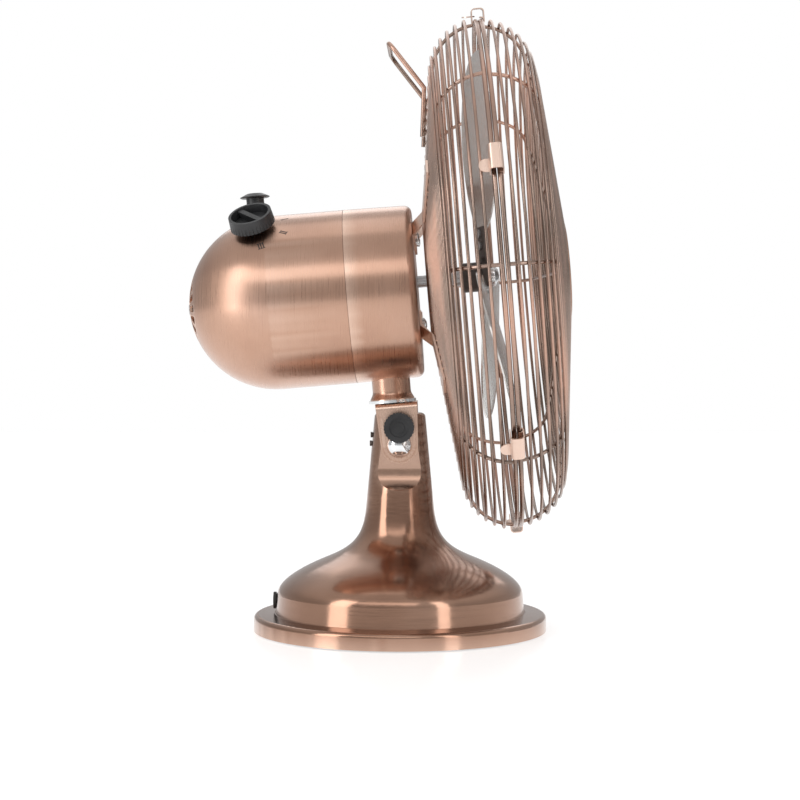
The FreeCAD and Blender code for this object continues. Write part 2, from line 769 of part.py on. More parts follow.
def on_dial(shape, dist):
    """Place a shape drawn about Z on the dial axis."""
    s = shape.copy()
    place = FreeCAD.Placement(dial_point(dist), FreeCAD.Rotation(Z, dial_axis()))
    s.Placement = place.multiply(s.Placement)
    return s


def rear_housing():
    """Rear shell with dome, vents and holes for the two controls."""
    s = dome_profile(HOUSE_R).cut(dome_profile(HOUSE_R - HOUSE_T))
    ri = INNER_R
    lip = [(SEAM_U - 4, ri + 0.3), (SEAM_U - 4, ri - 1.6), (SEAM_U + 5, ri - 1.6),
           (SEAM_U + 5, ri - 0.1), (SEAM_U - 0.3, ri - 0.1), (SEAM_U - 0.3, ri + 0.3)]
    s = s.cut(box(SEAM_U - 0.3, SEAM_U + 5, -90, 90, -90, 90))
    s = fuse([s, turn_x(lip, HOUSE_DROP)])
    pole = DOME_U - HOUSE_R
    tools = [vent_cutters()]
    tools.append(cyl(4.0, dial_point(HOUSE_R - 18), dial_point(HOUSE_R + 10)))
    tools.append(cyl(PULL_STEM + GAP, V(PULL_U, 0, STEM_LOW), V(PULL_U, 0, PULL_TOP)))
    tools.append(cyl(4.2, V(pole - 2, 0, -HOUSE_DROP), V(pole + 0.9, 0, -HOUSE_DROP)))
    tools.append(cyl(2.1, V(pole - 2, 0, -HOUSE_DROP), V(pole + 9, 0, -HOUSE_DROP)))
    return s.cut(Part.makeCompound(tools))


def rear_screw():
    """Long screw that holds the rear shell."""
    pole = DOME_U - HOUSE_R
    v = -HOUSE_DROP
    head = cyl(3.8, V(pole - 0.5, 0, v), V(pole + 0.9, 0, v))
    shank = cyl(2.0, V(pole + 0.9, 0, v), V(CASE_B + 2.0, 0, v))
    slot = box(pole - 1, pole - 0.5 + 0.7, -0.5, 0.5, v - 5, v + 5)
    return fuse([head, shank]).cut(slot)


# ================================================================ motor
def stator_core():
    """Laminated stator ring with twelve slots open to the bore."""
    s = tube(STATOR_R, STATOR_BORE, V(STATOR_B, 0, 0), V(STATOR_F, 0, 0))
    slot = box(STATOR_B - 1, STATOR_F + 1, -2.2, 2.2, STATOR_BORE + 2, STATOR_BORE + 11)
    mouth = box(STATOR_B - 1, STATOR_F + 1, -0.8, 0.8, STATOR_BORE - 2, STATOR_BORE + 3)
    return s.cut(around(slot.fuse(mouth), polar(12, 15)))


def stator_coils():
    """Winding heads at both ends of the stator."""
    ri = STATOR_BORE + 2.0
    ro = STATOR_BORE + 12.0
    front = turn_x([(STATOR_F, ri), (STATOR_F, ro), (STATOR_F + 6.5, ro - 1, 2.5),
                    (STATOR_F + 6.5, ri + 1, 2.5)])
    back = turn_x([(STATOR_B, ri), (STATOR_B, ro), (STATOR_B - 6.5, ro - 1, 2.5),
                   (STATOR_B - 6.5, ri + 1, 2.5)])
    return Part.makeCompound([front, back])


FB_U = STATOR_F + 8.0
RB_U = STATOR_B - 8.0


def end_shield(face, away, bearing):
    """Bearing bracket: plate, hub and four legs against the stator."""
    far = face + away * BRACKET_T
    plate = cyl(STATOR_R, V(face, 0, 0), V(far, 0, 0))
    hub = cyl(BEARING_R + 3.0, V(face - away * 1.5, 0, 0), V(far + away * 2.5, 0, 0))
    end = STATOR_F if away > 0 else STATOR_B
    lo = min(end, face + away * 1.0)
    hi = max(end, face + away * 1.0)
    leg = box(lo, hi, -5, 5, STATOR_BORE + 13.5, STATOR_R - 0.2)
    windows = []
    for y, v in screw_circle((BEARING_R + STATOR_R) / 2.0 - 1.0, polar(4, 0)):
        windows.append(cyl(8.0, V(face - 6, y, v), V(far + 6, y, v)))
    s = fuse([plate, hub] + [turned(leg, X, -a) for a in polar(4, 45)])
    s = s.cut(Part.makeCompound(windows))
    return s.cut(cyl(bearing, V(face - 12, 0, 0), V(far + 12, 0, 0)))


def front_bracket():
    """Front end shield with the four pillars that reach the housing face."""
    s = end_shield(FB_U, 1.0, BEARING_R)
    pillars = []
    holes = []
    for y, v in screw_circle(SCREW_PCR, polar(4, 45)):
        pillars.append(cyl(4.3, V(FB_U + 1, y, v), V(FACE_U - HOUSE_T - TOUCH, y, v)))
        holes.append(cyl(1.9, V(FB_U + 3.2, y, v), V(FACE_U, y, v)))
    return fuse([s] + pillars).cut(Part.makeCompound(holes))


def rear_bracket():
    """Rear end shield."""
    return end_shield(RB_U, -1.0, BEARING_R)


def bearing_at(u0, u1):
    """Plain bronze bearing."""
    return tube(BEARING_R, SHAFT_R + RUN, V(u0, 0, 0), V(u1, 0, 0))


def front_bearing():
    """Bearing in the front end shield."""
    return bearing_at(FB_U - 1.5, FB_U + BRACKET_T + 2.5)


def rear_bearing():
    """Bearing in the rear end shield."""
    return bearing_at(RB_U - BRACKET_T - 2.5, RB_U + 1.5)


# ================================================================ gearbox
WHEEL_PR = MODULE * WHEEL_TEETH / 2.0
WHEEL_Y = WHEEL_PR + WORM_PR
CASE_F = RB_U - BRACKET_T - TOUCH
CASE_B = PULL_U - 8.5
CASE_LO = -14.0
CASE_HI = 14.0
CASE_YN = -BEARING_R - 5.5
CASE_YP = WHEEL_Y + WHEEL_PR + 5.0
WHEEL_SHAFT = 2.5


def gearbox_case():
    """Die-cast case, open towards the rear end shield, with the clutch socket."""
    outer = box(CASE_B, CASE_F, CASE_YN, CASE_YP, CASE_LO, CASE_HI)
    inner = box(CASE_B + 2, CASE_F + 1, CASE_YN + 2, CASE_YP - 2, CASE_LO + 2, CASE_HI - 2)
    s = outer.cut(inner)
    socket = cyl(PULL_ROD + 2.2, V(PULL_U, 0, CASE_HI - 1), V(PULL_U, 0, SOCKET_TOP))
    boss = cyl(5.0, V(CASE_B + 1, 0, -HOUSE_DROP), V(CASE_B - 12, 0, -HOUSE_DROP))
    s = fuse([s, socket, boss])
    tools = [cyl(PULL_ROD + RUN, V(PULL_U, 0, CASE_HI - 3), V(PULL_U, 0, SOCKET_TOP + 2))]
    tools.append(cyl(2.0, V(CASE_B - 13, 0, -HOUSE_DROP), V(CASE_B + 2, 0, -HOUSE_DROP)))
    for v in (CASE_LO - 1, CASE_HI - 3):
        tools.append(cyl(WHEEL_SHAFT + RUN, V(WORM_U, WHEEL_Y, v), V(WORM_U, WHEEL_Y, v + 4)))
    return s.cut(Part.makeCompound(tools))


def worm():
    """Single-start worm on the motor shaft."""
    pitch = math.pi * MODULE
    turns = 6
    root = WORM_ROOT
    tip = WORM_PR + 0.9
    helix = Part.makeHelix(pitch, turns * pitch, root)
    prof = Part.Wire(lines([V(root - 0.2, 0, -0.62), V(tip, 0, -0.36), V(tip, 0, 0.36),
                            V(root - 0.2, 0, 0.62), V(root - 0.2, 0, -0.62)]))
    sweep = Part.BRepOffsetAPI.MakePipeShell(Part.Wire(helix.Edges))
    sweep.setFrenetMode(True)
    sweep.add(prof)
    sweep.build()
    sweep.makeSolid()
    thread = sweep.shape()
    core = Part.makeCylinder(root, turns * pitch + 5, V(0, 0, -2.5), Z)
    bore = Part.makeCylinder(SHAFT_R, turns * pitch + 9, V(0, 0, -4), Z)
    s = core.fuse(thread).cut(bore)
    s.translate(V(0, 0, -turns * pitch / 2.0))
    s.rotate(V(0, 0, 0), V(1, 1, 1), 120)
    s.translate(V(WORM_U, 0, 0))
    return s


def worm_wheel():
    """Worm wheel with straight teeth."""
    tip = WHEEL_Y - WORM_ROOT - GAP
    root = WHEEL_PR - 1.3
    disc = cyl(root, V(0, 0, -2), V(0, 0, 2))
    tooth = Part.Face(Part.Wire(lines([V(-0.75, -root + 0.4, -2), V(0.75, -root + 0.4, -2),
                                       V(0.38, -tip, -2), V(-0.38, -tip, -2),
                                       V(-0.75, -root + 0.4, -2)])))
    tooth = tooth.extrude(V(0, 0, 4))
    teeth = []
    for a in polar(WHEEL_TEETH, 180.0 / WHEEL_TEETH):
        teeth.append(turned(tooth, Z, a))
    s = disc.multiFuse(teeth)
    s = s.cut(cyl(WHEEL_SHAFT, V(0, 0, -5), V(0, 0, 5)))
    return moved(s, WORM_U, WHEEL_Y, 0)


def crank_shaft():
    """Upright gear shaft with crank disc and pin at its foot."""
    a = WORM_U
    b = WHEEL_Y
    top = CASE_HI - 0.5
    disc_lo = LINK_V + LINK_T + 0.6
    rod = cyl(WHEEL_SHAFT, V(a, b, disc_lo), V(a, b, top))
    disc = cyl(8.0, V(a, b, disc_lo), V(a, b, disc_lo + 2.5))
    pin = cyl(1.5, V(a, b + CRANK_R, LINK_V - 0.6), V(a, b + CRANK_R, disc_lo + 1))
    return fuse([rod, disc, pin])


def crank_link():
    """Link from the crank pin to the open ring around the spindle nose."""
    v0 = LINK_V
    v1 = LINK_V + LINK_T
    ring_r = NOSE_R + CRANK_R + 0.5
    p = V(WORM_U, WHEEL_Y + CRANK_R, v0)
    q = V(POST_U, CRANK_R, v0)
    d = q.sub(p).normalize()
    n = V(-d.y, d.x, 0) * 3.0
    corners = [p + n, q + n, q - n, p - n, p + n]
    bar = Part.Face(Part.Wire(lines(corners))).extrude(V(0, 0, v1 - v0))
    eye = cyl(4.0, p, V(p.x, p.y, v1))
    ring = cyl(ring_r + 1.8, q, V(q.x, q.y, v1))
    s = fuse([bar, eye, ring])
    s = s.cut(cyl(ring_r, V(q.x, q.y, v0 - 1), V(q.x, q.y, v1 + 1)))
    return s.cut(cyl(1.5 + RUN, V(p.x, p.y, v0 - 1), V(p.x, p.y, v1 + 1)))


def capacitor():
    """Run capacitor under the gearbox."""
    s = box(CASE_B + 1, CASE_B + 17, -12, 16, CASE_LO - 14 - TOUCH, CASE_LO - TOUCH)
    return s.makeFillet(1.5, s.Edges)


# ================================================================ controls
def oscillation_knob():
    """Push-pull knob: flared cap, stem and clutch rod."""
    cap_lo = PULL_TOP - 3.2
    prof = [(0, cap_lo), (PULL_R - 1.0, cap_lo), (PULL_R, cap_lo + 0.5), (PULL_R - 0.2, cap_lo + 1.0),
            (5.2, PULL_TOP, 0.8), (0, PULL_TOP)]
    cap = turn_z(prof)
    stem = cyl(PULL_STEM, V(0, 0, STEM_LOW), V(0, 0, cap_lo + 0.5))
    rod = cyl(PULL_ROD, V(0, 0, CASE_HI + 2), V(0, 0, STEM_LOW + 1))
    return moved(fuse([cap, stem, rod]), PULL_U, 0, 0)


def speed_dial():
    """Knurled cup-shaped dial with a finger bar."""
    r = DIAL_R
    drum = Part.makeCone(r, r - 0.6, DIAL_H, V(0, 0, 0), Z)
    cuts = []
    for a in polar(36):
        t = math.radians(a)
        x = (r + 0.15) * math.cos(t)
        y = (r + 0.15) * math.sin(t)
        cuts.append(cyl(0.6, V(x, y, -1), V(x, y, DIAL_H - 1.1)))
    s = drum.cut(Part.makeCompound(cuts))
    cup = Part.makeCone(r - 3.4, r - 1.9, DIAL_H, V(0, 0, 3.2), Z)
    bar = box(-1.8, 1.8, -r + 2.0, r - 2.0, 2.0, DIAL_H - 1.0)
    s = s.cut(cup)
    s = fuse([s, bar.common(cyl(r - 2.2, V(0, 0, 0), V(0, 0, DIAL_H)))])
    s = s.cut(cyl(3.0, V(0, 0, -1), V(0, 0, 2.2)))
    return on_dial(turned(s, Z, 35), HOUSE_R + DIAL_LIFT)


SWITCH_NECK = 5.5
SWITCH_TOP = math.sqrt(INNER_R ** 2 - SWITCH_NECK ** 2) - TOUCH


def dial_spindle():
    """Steel switch spindle under the dial."""
    return cyl(3.0, dial_point(SWITCH_TOP - 9.5), dial_point(HOUSE_R + DIAL_LIFT + 2.2))


def speed_switch():
    """Rotary switch body behind the dome wall."""
    top = SWITCH_TOP
    body = cyl(11.0, dial_point(top - 16.7), dial_point(top - 4))
    neck = cyl(SWITCH_NECK, dial_point(top - 5), dial_point(top))
    s = fuse([body, neck])
    return s.cut(cyl(3.0 + RUN, dial_point(top - 10), dial_point(top + 10)))


# ================================================================ guard
ARC_R0 = HOOP_R - RIM_IN
SPLIT_R = ARC_R0 - 3.5    # ribs change from rim node to face node here
SPLIT_CLEAR = 2.4         # rings keep this far from the change


def rear_line(s):
    """(u, r, tangent angle) at arc length s along the rear profile."""
    th0 = math.radians(5.0)
    th1 = math.radians(90.0 - CONE_REAR)
    arc = ARC_REAR * (th1 - th0)
    if s <= arc:
        t = th0 + s / ARC_REAR
        return -ARC_REAR * math.sin(t), ARC_R0 + ARC_REAR * math.cos(t), t
    d = s - arc
    u = -ARC_REAR * math.sin(th1) - d * math.cos(th1)
    return u, ARC_R0 + ARC_REAR * math.cos(th1) - d * math.sin(th1), th1


def front_line(s):
    """(u, r, tangent angle) at arc length s along the front profile."""
    th0 = math.radians(2.5)
    th1 = math.radians(90.0 - CONE_FRONT)
    arc = ARC_FRONT * (th1 - th0)
    if s <= arc:
        t = th0 + s / ARC_FRONT
        return ARC_FRONT * math.sin(t), ARC_R0 + ARC_FRONT * math.cos(t), t
    d = s - arc
    u = ARC_FRONT * math.sin(th1) + d * math.cos(th1)
    return u, ARC_R0 + ARC_FRONT * math.cos(th1) - d * math.sin(th1), th1


def ring(u, r, w):
    """Wire ring about the shaft."""
    return Part.makeTorus(r, w, V(u, 0, 0), X)


def arc_rib(side, arc, cone, inner):
    """Rim part of one rib: short leg to the hoop, rim arc, start of the face."""
    sink = WIRE + RIB - WELD
    rr = arc - sink
    t1 = math.radians(90.0 - cone)
    t0 = math.asin(HOOP_HALF / rr)

    def at(t):
        return V(side * rr * math.sin(t), 0, ARC_R0 + rr * math.cos(t))

    a = at(t0)
    b = at(t1)
    m = at((t0 + t1) / 2.0)
    d = V(side * math.cos(t1), 0, -math.sin(t1))
    length = (b.z - inner) / math.sin(t1)
    c = b + d * length
    path = Part.Wire([Part.Arc(a, m, b).toShape(), Part.LineSegment(b, c).toShape()])
    start = V(side * math.cos(t0), 0, -math.sin(t0))
    prof = Part.Wire(Part.makeCircle(RIB, a, start))
    sweep = Part.BRepOffsetAPI.MakePipeShell(path)
    sweep.setFrenetMode(False)
    sweep.add(prof)
    sweep.build()
    sweep.makeSolid()
    hub = cyl(RIB, V(a.x, 0, a.z - 0.3), V(a.x, 0, HOOP_R))
    return sweep.shape().fuse(hub), c, d


def guard_nodes(side):
    """Rim and face of one guard half: ring stations, ribs, hoop."""
    rear = side < 0
    arc = ARC_REAR if rear else ARC_FRONT
    cone = CONE_REAR if rear else CONE_FRONT
    line = rear_line if rear else front_line
    end = REAR_IN if rear else BADGE_R + 2.0
    rim, c, d = arc_rib(side, arc, cone, SPLIT_R)
    reach = (c.z - (end - (1.0 if rear else 4.0))) / (-d.z)
    face_rib = cyl(RIB, c, c + d * reach)
    rim_rings = [ring(side * HOOP_HALF, HOOP_R, HOOP_WIRE)]
    face_rings = []
    s = PITCH_REAR if rear else PITCH_RIM
    while line(s)[1] > end + INNER_CLEAR:
        u, r, t = line(s)
        if r > SPLIT_R:
            rim_rings.append(ring(u, max(r, SPLIT_R + SPLIT_CLEAR), WIRE))
        else:
            face_rings.append(ring(u, min(r, SPLIT_R - SPLIT_CLEAR), WIRE))
        rim_step = PITCH_RIM if r > ARC_R0 + 5 else PITCH_FRONT
        s += PITCH_REAR if rear else rim_step
    angles = polar(RIBS)
    rim_all = rim_rings + [turned(rim, X, a) for a in angles]
    face_all = face_rings + [turned(face_rib, X, a) for a in angles]
    tip = c + d * reach
    if rear:
        face_all.append(ring(tip.x, tip.z + 0.3, RIB))
    else:
        face_all.append(ring(tip.x, tip.z, RIB))
    return fuse(rim_all), fuse(face_all), tip


def face_u(side, r):
    """Outer surface of the guard face at a radius."""
    if side < 0:
        u0 = -ARC_REAR * math.cos(math.radians(CONE_REAR))
        r0 = ARC_R0 + ARC_REAR * math.sin(math.radians(CONE_REAR))
        return u0 - (r0 - r) * math.tan(math.radians(CONE_REAR)) - WIRE / math.cos(math.radians(CONE_REAR))
    u0 = ARC_FRONT * math.cos(math.radians(CONE_FRONT))
    r0 = ARC_R0 + ARC_FRONT * math.sin(math.radians(CONE_FRONT))
    return u0 + (r0 - r) * math.tan(math.radians(CONE_FRONT)) + WIRE / math.cos(math.radians(CONE_FRONT))


def badge(tip):
    """Plain domed badge in the middle of the front guard."""
    back = tip.x + RIB + 0.1
    pts = [(back, 0), (back, BADGE_R), (back + 1.6, BADGE_R, 0.7), (back + 1.9, BADGE_R - 2.0),
           (back + 3.4, 0)]
    s = turn_x(pts)
    return s.cut(cyl(1.6, V(back - 1, 0, 0), V(back + 2.0, 0, 0)))


def badge_plate(tip):
    """Back plate with its screw boss, clamping the ribs to the badge."""
    back = tip.x - RIB - 0.1
    plate = cyl(tip.z, V(back - 1.2, 0, 0), V(back, 0, 0))
    stud = cyl(1.6, V(back - 3.0, 0, 0), V(tip.x + RIB + 1.9, 0, 0))
    head = cyl(3.2, V(back - 3.0, 0, 0), V(back - 1.1, 0, 0))
    return fuse([plate, stud, head])


def grille_bracket():
    """One Z-bent strap from the guard to the housing face, along +v."""
    foot_in = SCREW_PCR - 6.5
    foot_out = SCREW_PCR + 6.5
    r1 = foot_out + 10.5
    r2 = STRAP_TOP
    f = FACE_U + TOUCH
    a = face_u(-1, r1) - TOUCH
    b = face_u(-1, r2) - TOUCH
    pts = [(f, foot_in), (f + STRAP_T, foot_in), (f + STRAP_T, foot_out + 0.2, 2.5), (a, r1 + 0.9, 2.5), (b, r2),
           (b - STRAP_T, r2), (a - STRAP_T, r1 - 0.6, 1.2), (f, foot_out + 1.0, 1.2)]
    s = prism_y(pts, -STRAP_W / 2, STRAP_W / 2)
    s = s.cut(cyl(1.95, V(f - 2, 0, SCREW_PCR), V(f + 4, 0, SCREW_PCR)))
    return s


def bracket_screw():
    """Pan-head screw with a cross recess, on +v."""
    f = FACE_U + TOUCH + STRAP_T
    v = SCREW_PCR
    head = turn_x([(f, 0), (f, 3.9), (f + 1.6, 3.7, 0.6), (f + 2.6, 1.6), (f + 2.7, 0)])
    head.translate(V(0, 0, v))
    shank = cyl(1.9, V(f - 9.0, 0, v), V(f, 0, v))
    s = fuse([head, shank])
    slot1 = box(f + 1.6, f + 4, -0.4, 0.4, v - 2, v + 2)
    slot2 = box(f + 1.6, f + 4, -2, 2, v - 0.4, v + 0.4)
    return s.cut(slot1.fuse(slot2))


def carry_handle():
    """Wire carry handle on the upper back of the guard."""
    w = HANDLE_WIRE
    h = HANDLE_W / 2.0
    v_low = HOOP_R - HANDLE_FOOT
    v_bend = HOOP_R - HANDLE_BEND
    low = V(face_u(-1, v_low) - w - TOUCH, h, v_low)
    bend = V(face_u(-1, v_bend) - w - TOUCH, h, v_bend)
    tip = V(bend.x - HANDLE_BACK, h, v_bend + HANDLE_RISE)
    along = tip.sub(bend).normalize()
    r = 8.0
    p1 = tip - along * r
    parts = []
    for s in (-1, 1):
        a = V(low.x, s * h, low.z)
        b = V(bend.x, s * h, bend.z)
        c = V(p1.x, s * h, p1.z)
        parts.append(cyl(w, a, b))
        parts.append(Part.makeSphere(w, b))
        parts.append(cyl(w, b, c))
        parts.append(Part.makeSphere(w, c))
        e = V(tip.x, s * (h - r), tip.z)
        mid = (c + e) * 0.5 + (along + V(0, s, 0)) * (r * (math.sqrt(0.5) - 0.5))
        parts.append(bent(c, mid, e, w))
    parts.append(Part.makeSphere(w, V(tip.x, h - r, tip.z)))
    parts.append(Part.makeSphere(w, V(tip.x, r - h, tip.z)))
    parts.append(cyl(w, V(tip.x, -(h - r), tip.z), V(tip.x, h - r, tip.z)))
    return fuse(parts)


def bent(a, m, b, w):
    """Quarter bend of wire through three points."""
    arc = Part.Arc(a, m, b).toShape()
    tan = arc.tangentAt(arc.FirstParameter)
    prof = Part.Wire(Part.makeCircle(w, a, tan))
    return Part.Wire([arc]).makePipeShell([prof], True, False)


def lever_clip():
    """Lever clip at the top of the guard: knuckle on the front hoop, channel, tab."""
    h = CLIP_L / 2.0
    sag = HOOP_R - math.sqrt(HOOP_R ** 2 - h ** 2)
    ri = HOOP_WIRE + GAP + sag
    ro = ri + CLIP_T
    fu = HOOP_HALF
    ru = -HOOP_HALF - HOOP_WIRE - CLIP_CATCH
    roof = HOOP_R + CLIP_OUT
    far = 9.0
    knuckle = tube(ro, ri, V(fu, -h, HOOP_R), V(fu, h, HOOP_R))
    slant = far * math.tan(math.radians(10.0))
    opening = [(fu, HOOP_R), (fu - slant, HOOP_R + far), (fu - far, HOOP_R + far),
               (fu - far, HOOP_R - far), (fu - slant, HOOP_R - far)]
    knuckle = knuckle.cut(prism_y(opening, -h - 1, h + 1))
    low = HOOP_R - CLIP_LIP
    bend = CLIP_BEND
    inner = CLIP_BEND - CLIP_T
    channel = prism_y([(ru - CLIP_T, low), (ru - CLIP_T, roof, bend), (fu + ro, roof, bend),
                       (fu + ro, HOOP_R), (fu + ri, HOOP_R), (fu + ri, roof - CLIP_T, inner),
                       (ru, roof - CLIP_T, inner), (ru, low)], -h, h)
    lo = HOOP_R + HOOP_WIRE + 4 * GAP
    r = TAB_W / 2.0
    tab = box(r - TAB_BACK, ru, -h, TAB_W - h, lo, lo + CLIP_T)
    end = cyl(r, V(r - TAB_BACK, r - h, lo), V(r - TAB_BACK, r - h, lo + CLIP_T))
    return fuse([knuckle, channel, tab, end])


# ================================================================ rotor
def motor_shaft():
    """Steel shaft with the collar behind the hub."""
    rod = cyl(SHAFT_R, V(WORM_U - 13, 0, 0), V(SPIDER_F + 3, 0, 0))
    collar = cyl(5.2, V(HUB_B - 4.8, 0, 0), V(HUB_B - TOUCH, 0, 0))
    return fuse([rod, collar])


def rotor_core():
    """Squirrel-cage rotor."""
    ro = STATOR_BORE - AIR_GAP
    s = tube(ro, SHAFT_R, V(STATOR_B, 0, 0), V(STATOR_F, 0, 0))
    ends = tube(ro - 1.5, ro - 9, V(STATOR_B - 3, 0, 0), V(STATOR_F + 3, 0, 0))
    return fuse([s, ends])


def pitched(shape):
    """Turn a blade-root piece to the root pitch about its radial line."""
    s = moved(shape, -ARM_U, 0, 0)
    s.rotate(V(0, 0, 0), Z, ROOT_PITCH)
    return moved(s, ARM_U, 0, 0)


RIVETS_R = (21.0, 29.0)
ARM_END = 33.5
ROOT_R = 16.0


def spider_arm():
    """One arm lying behind the blade root, on +v."""
    back = ARM_U - BLADE_T / 2 - TOUCH
    s = box(back - ARM_T, back, -9, 9, 8.5, ARM_END)
    holes = [cyl(1.6, V(ARM_U - 9, 0, r), V(ARM_U + 9, 0, r)) for r in RIVETS_R]
    return pitched(s.cut(Part.makeCompound(holes)))


def blade_spider():
    """Hub sleeve, flange and three arms."""
    sleeve = cyl(HUB_R, V(HUB_B, 0, 0), V(HUB_F, 0, 0))
    flange = cyl(FLANGE_R, V(HUB_F - 0.5, 0, 0), V(SPIDER_F, 0, 0))
    arms = [turned(spider_arm(), X, a) for a in polar(3)]
    return fuse([sleeve, flange] + arms).cut(cyl(SHAFT_R, V(HUB_B - 1, 0, 0), V(5, 0, 0)))


def blade_section(r, chord, camber, pitch):
    """Closed thin section across the blade at radius r."""
    t = BLADE_T / 2.0
    c = chord / 2.0
    a = math.radians(pitch)

    def at(y, n):
        return V(ARM_U + n * math.cos(a) - y * math.sin(a), n * math.sin(a) + y * math.cos(a), r)

    p = [at(-c, -t), at(0, camber - t), at(c, -t)]
    q = [at(c, t), at(0, camber + t), at(-c, t)]
    one = Part.BSplineCurve()
    one.interpolate(p)
    two = Part.BSplineCurve()
    two.interpolate(q)
    return Part.Wire([one.toShape(), Part.LineSegment(p[2], q[0]).toShape(), two.toShape(),
                      Part.LineSegment(q[2], p[0]).toShape()])


def blade_outline():
    """Leaf-shaped outline, cut through the twisted sheet."""
    k = BLADE_TIP / BLADE_DRAWN
    pts = [(-11, 32), (-26, 44), (-43, 72), (-49, 104), (-44, 131), (-26, 147), (0, 151),
           (24, 146), (42, 127), (47, 100), (40, 70), (25, 45), (11, 32)]
    vs = [V(0, a, b * k if b > 40 else b) for a, b in pts]
    c = Part.BSplineCurve()
    c.interpolate(vs)
    back = Part.LineSegment(vs[-1], vs[0]).toShape()
    f = Part.Face(Part.Wire([c.toShape(), back]))
    f.translate(V(-60, 0, 0))
    return f.extrude(V(120, 0, 0))


def blade():
    """One pressed blade with its flat root tab, on +v."""
    k = BLADE_TIP / BLADE_DRAWN
    stations = [(31.0, 34, 0.0, ROOT_PITCH), (60.0 * k, 104, 2.6, 13.5), (105.0 * k, 124, 4.5, 11.0),
                (154.0 * k, 124, 4.5, 9.5)]
    wires = [blade_section(r, c, m, p) for r, c, m, p in stations]
    sheet = Part.makeLoft(wires, True, False)
    sheet = sheet.common(blade_outline())
    tab = pitched(box(ARM_U - BLADE_T / 2, ARM_U + BLADE_T / 2, -10, 10, ROOT_R, 33.0))
    s = fuse([sheet, tab])
    holes = [pitched(cyl(1.6, V(ARM_U - 9, 0, r), V(ARM_U + 9, 0, r))) for r in RIVETS_R]
    return s.cut(Part.makeCompound(holes))


def blade_rivets():
    """Two rivets per blade."""
    back = ARM_U - BLADE_T / 2 - TOUCH - ARM_T
    front = ARM_U + BLADE_T / 2
    out = []
    for r in RIVETS_R:
        body = cyl(1.6, V(back - 1.0, 0, r), V(front + 1.0, 0, r))
        h1 = cyl(2.9, V(front + TOUCH, 0, r), V(front + 1.2, 0, r))
        h2 = cyl(2.9, V(back - 1.2, 0, r), V(back - TOUCH, 0, r))
        out.append(pitched(fuse([body, h1, h2])))
    return around(Part.makeCompound(out), polar(3))


def hub_nut():
    """Domed nut on the shaft end."""
    a = SPIDER_F + TOUCH
    s = turn_x([(a, 0), (a, 7.2), (a + 3.0, 7.2, 0.8), (a + 5.5, 4.0, 1.5), (a + 6.2, 0)])
    return s.cut(cyl(SHAFT_R, V(a - 1, 0, 0), V(SPIDER_F + 3.0, 0, 0)))


# ================================================================ write nodes
def write_base():
    """Pedestal body."""
    save("pedestal", pedestal().cut(neck_screw_seats()))
    save("base_cover", base_cover())
    save("base_pad", base_pad())
    save("base_weight", base_weight())
    save("base_screws", base_screws())
    save("cord_grommet", cord_grommet())
    save("neck_screws", neck_screws())
    save("tilt_bolt", tilt_bolt())
    save("tilt_nut", tilt_nut())
    save("tilt_washers", tilt_washers())
    save("clamp_stud", clamp_stud())


def write_neck():
    """Yoke, clamp knob, spindle and post."""
    save("tilt_knob", tilt_knob())
    save("tilt_yoke", yoke_world(tilt_yoke()))
    save_head("neck_spindle", neck_spindle())
    save_head("spindle_clip", spindle_clip())
    save_head("neck_disc", neck_disc())
    save_head("neck_post", neck_post())


def write_motor():
    """Housing, motor and gearbox."""
    save_head("front_housing", front_housing())
    save_head("rear_housing", rear_housing())
    save_head("rear_screw", rear_screw())
    save_head("stator_core", stator_core())
    save_head("stator_coils", stator_coils())
    save_head("front_bracket", front_bracket())
    save_head("rear_bracket", rear_bracket())
    save_head("front_bearing", front_bearing())
    save_head("rear_bearing", rear_bearing())
    save_head("gearbox_case", gearbox_case())
    save_head("capacitor", capacitor())
    save_head("worm_wheel", worm_wheel())
    save_head("crank_shaft", crank_shaft())
    save_head("crank_link", crank_link())


def write_controls():
    """Dial, switch and oscillation knob."""
    save_head("oscillation_knob", oscillation_knob())
    save_head("speed_dial", speed_dial())
    save_head("dial_spindle", dial_spindle())
    save_head("speed_switch", speed_switch())


def write_guard():
    """Guard halves and what is fixed to them."""
    rim, face, tip = guard_nodes(-1)
    save_head("rear_guard_rim", rim)
    save_head("rear_guard_face", face)
    rim, face, tip = guard_nodes(1)
    save_head("front_guard_rim", rim)
    save_head("front_guard_face", face)
    save_head("badge", badge(tip))
    save_head("badge_plate", badge_plate(tip))
    save_head("guard_brackets", around(grille_bracket(), polar(4, 45)))
    save_head("bracket_screws", around(bracket_screw(), polar(4, 45)))
    save_head("carry_handle", carry_handle())
    clip = lever_clip()
    for i, a in enumerate(polar(CLIPS, CLIP_FIRST)):
        save_head("guard_clip_%d" % (i + 1), turned(clip, X, a))


def write_rotor():
    """Everything that spins with the blades."""
    save_head("motor_shaft", motor_shaft())
    save_head("rotor_core", rotor_core())
    save_head("worm", worm())
    save_head("blade_spider", blade_spider())
    one = blade()
    for i, a in enumerate(polar(3)):
        save_head("blade_%d" % (i + 1), turned(one, X, a))
    save_head("blade_rivets", blade_rivets())
    save_head("hub_nut", hub_nut())


write_base()
write_neck()
write_motor()
write_controls()
write_guard()
write_rotor()
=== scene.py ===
"""Looks of the copper desk fan: finishes for the CAD nodes, dial marks, studio and camera.

Metres, in the CAD's own frame. MM turns the drawing sizes into metres.
"""

import json
import math

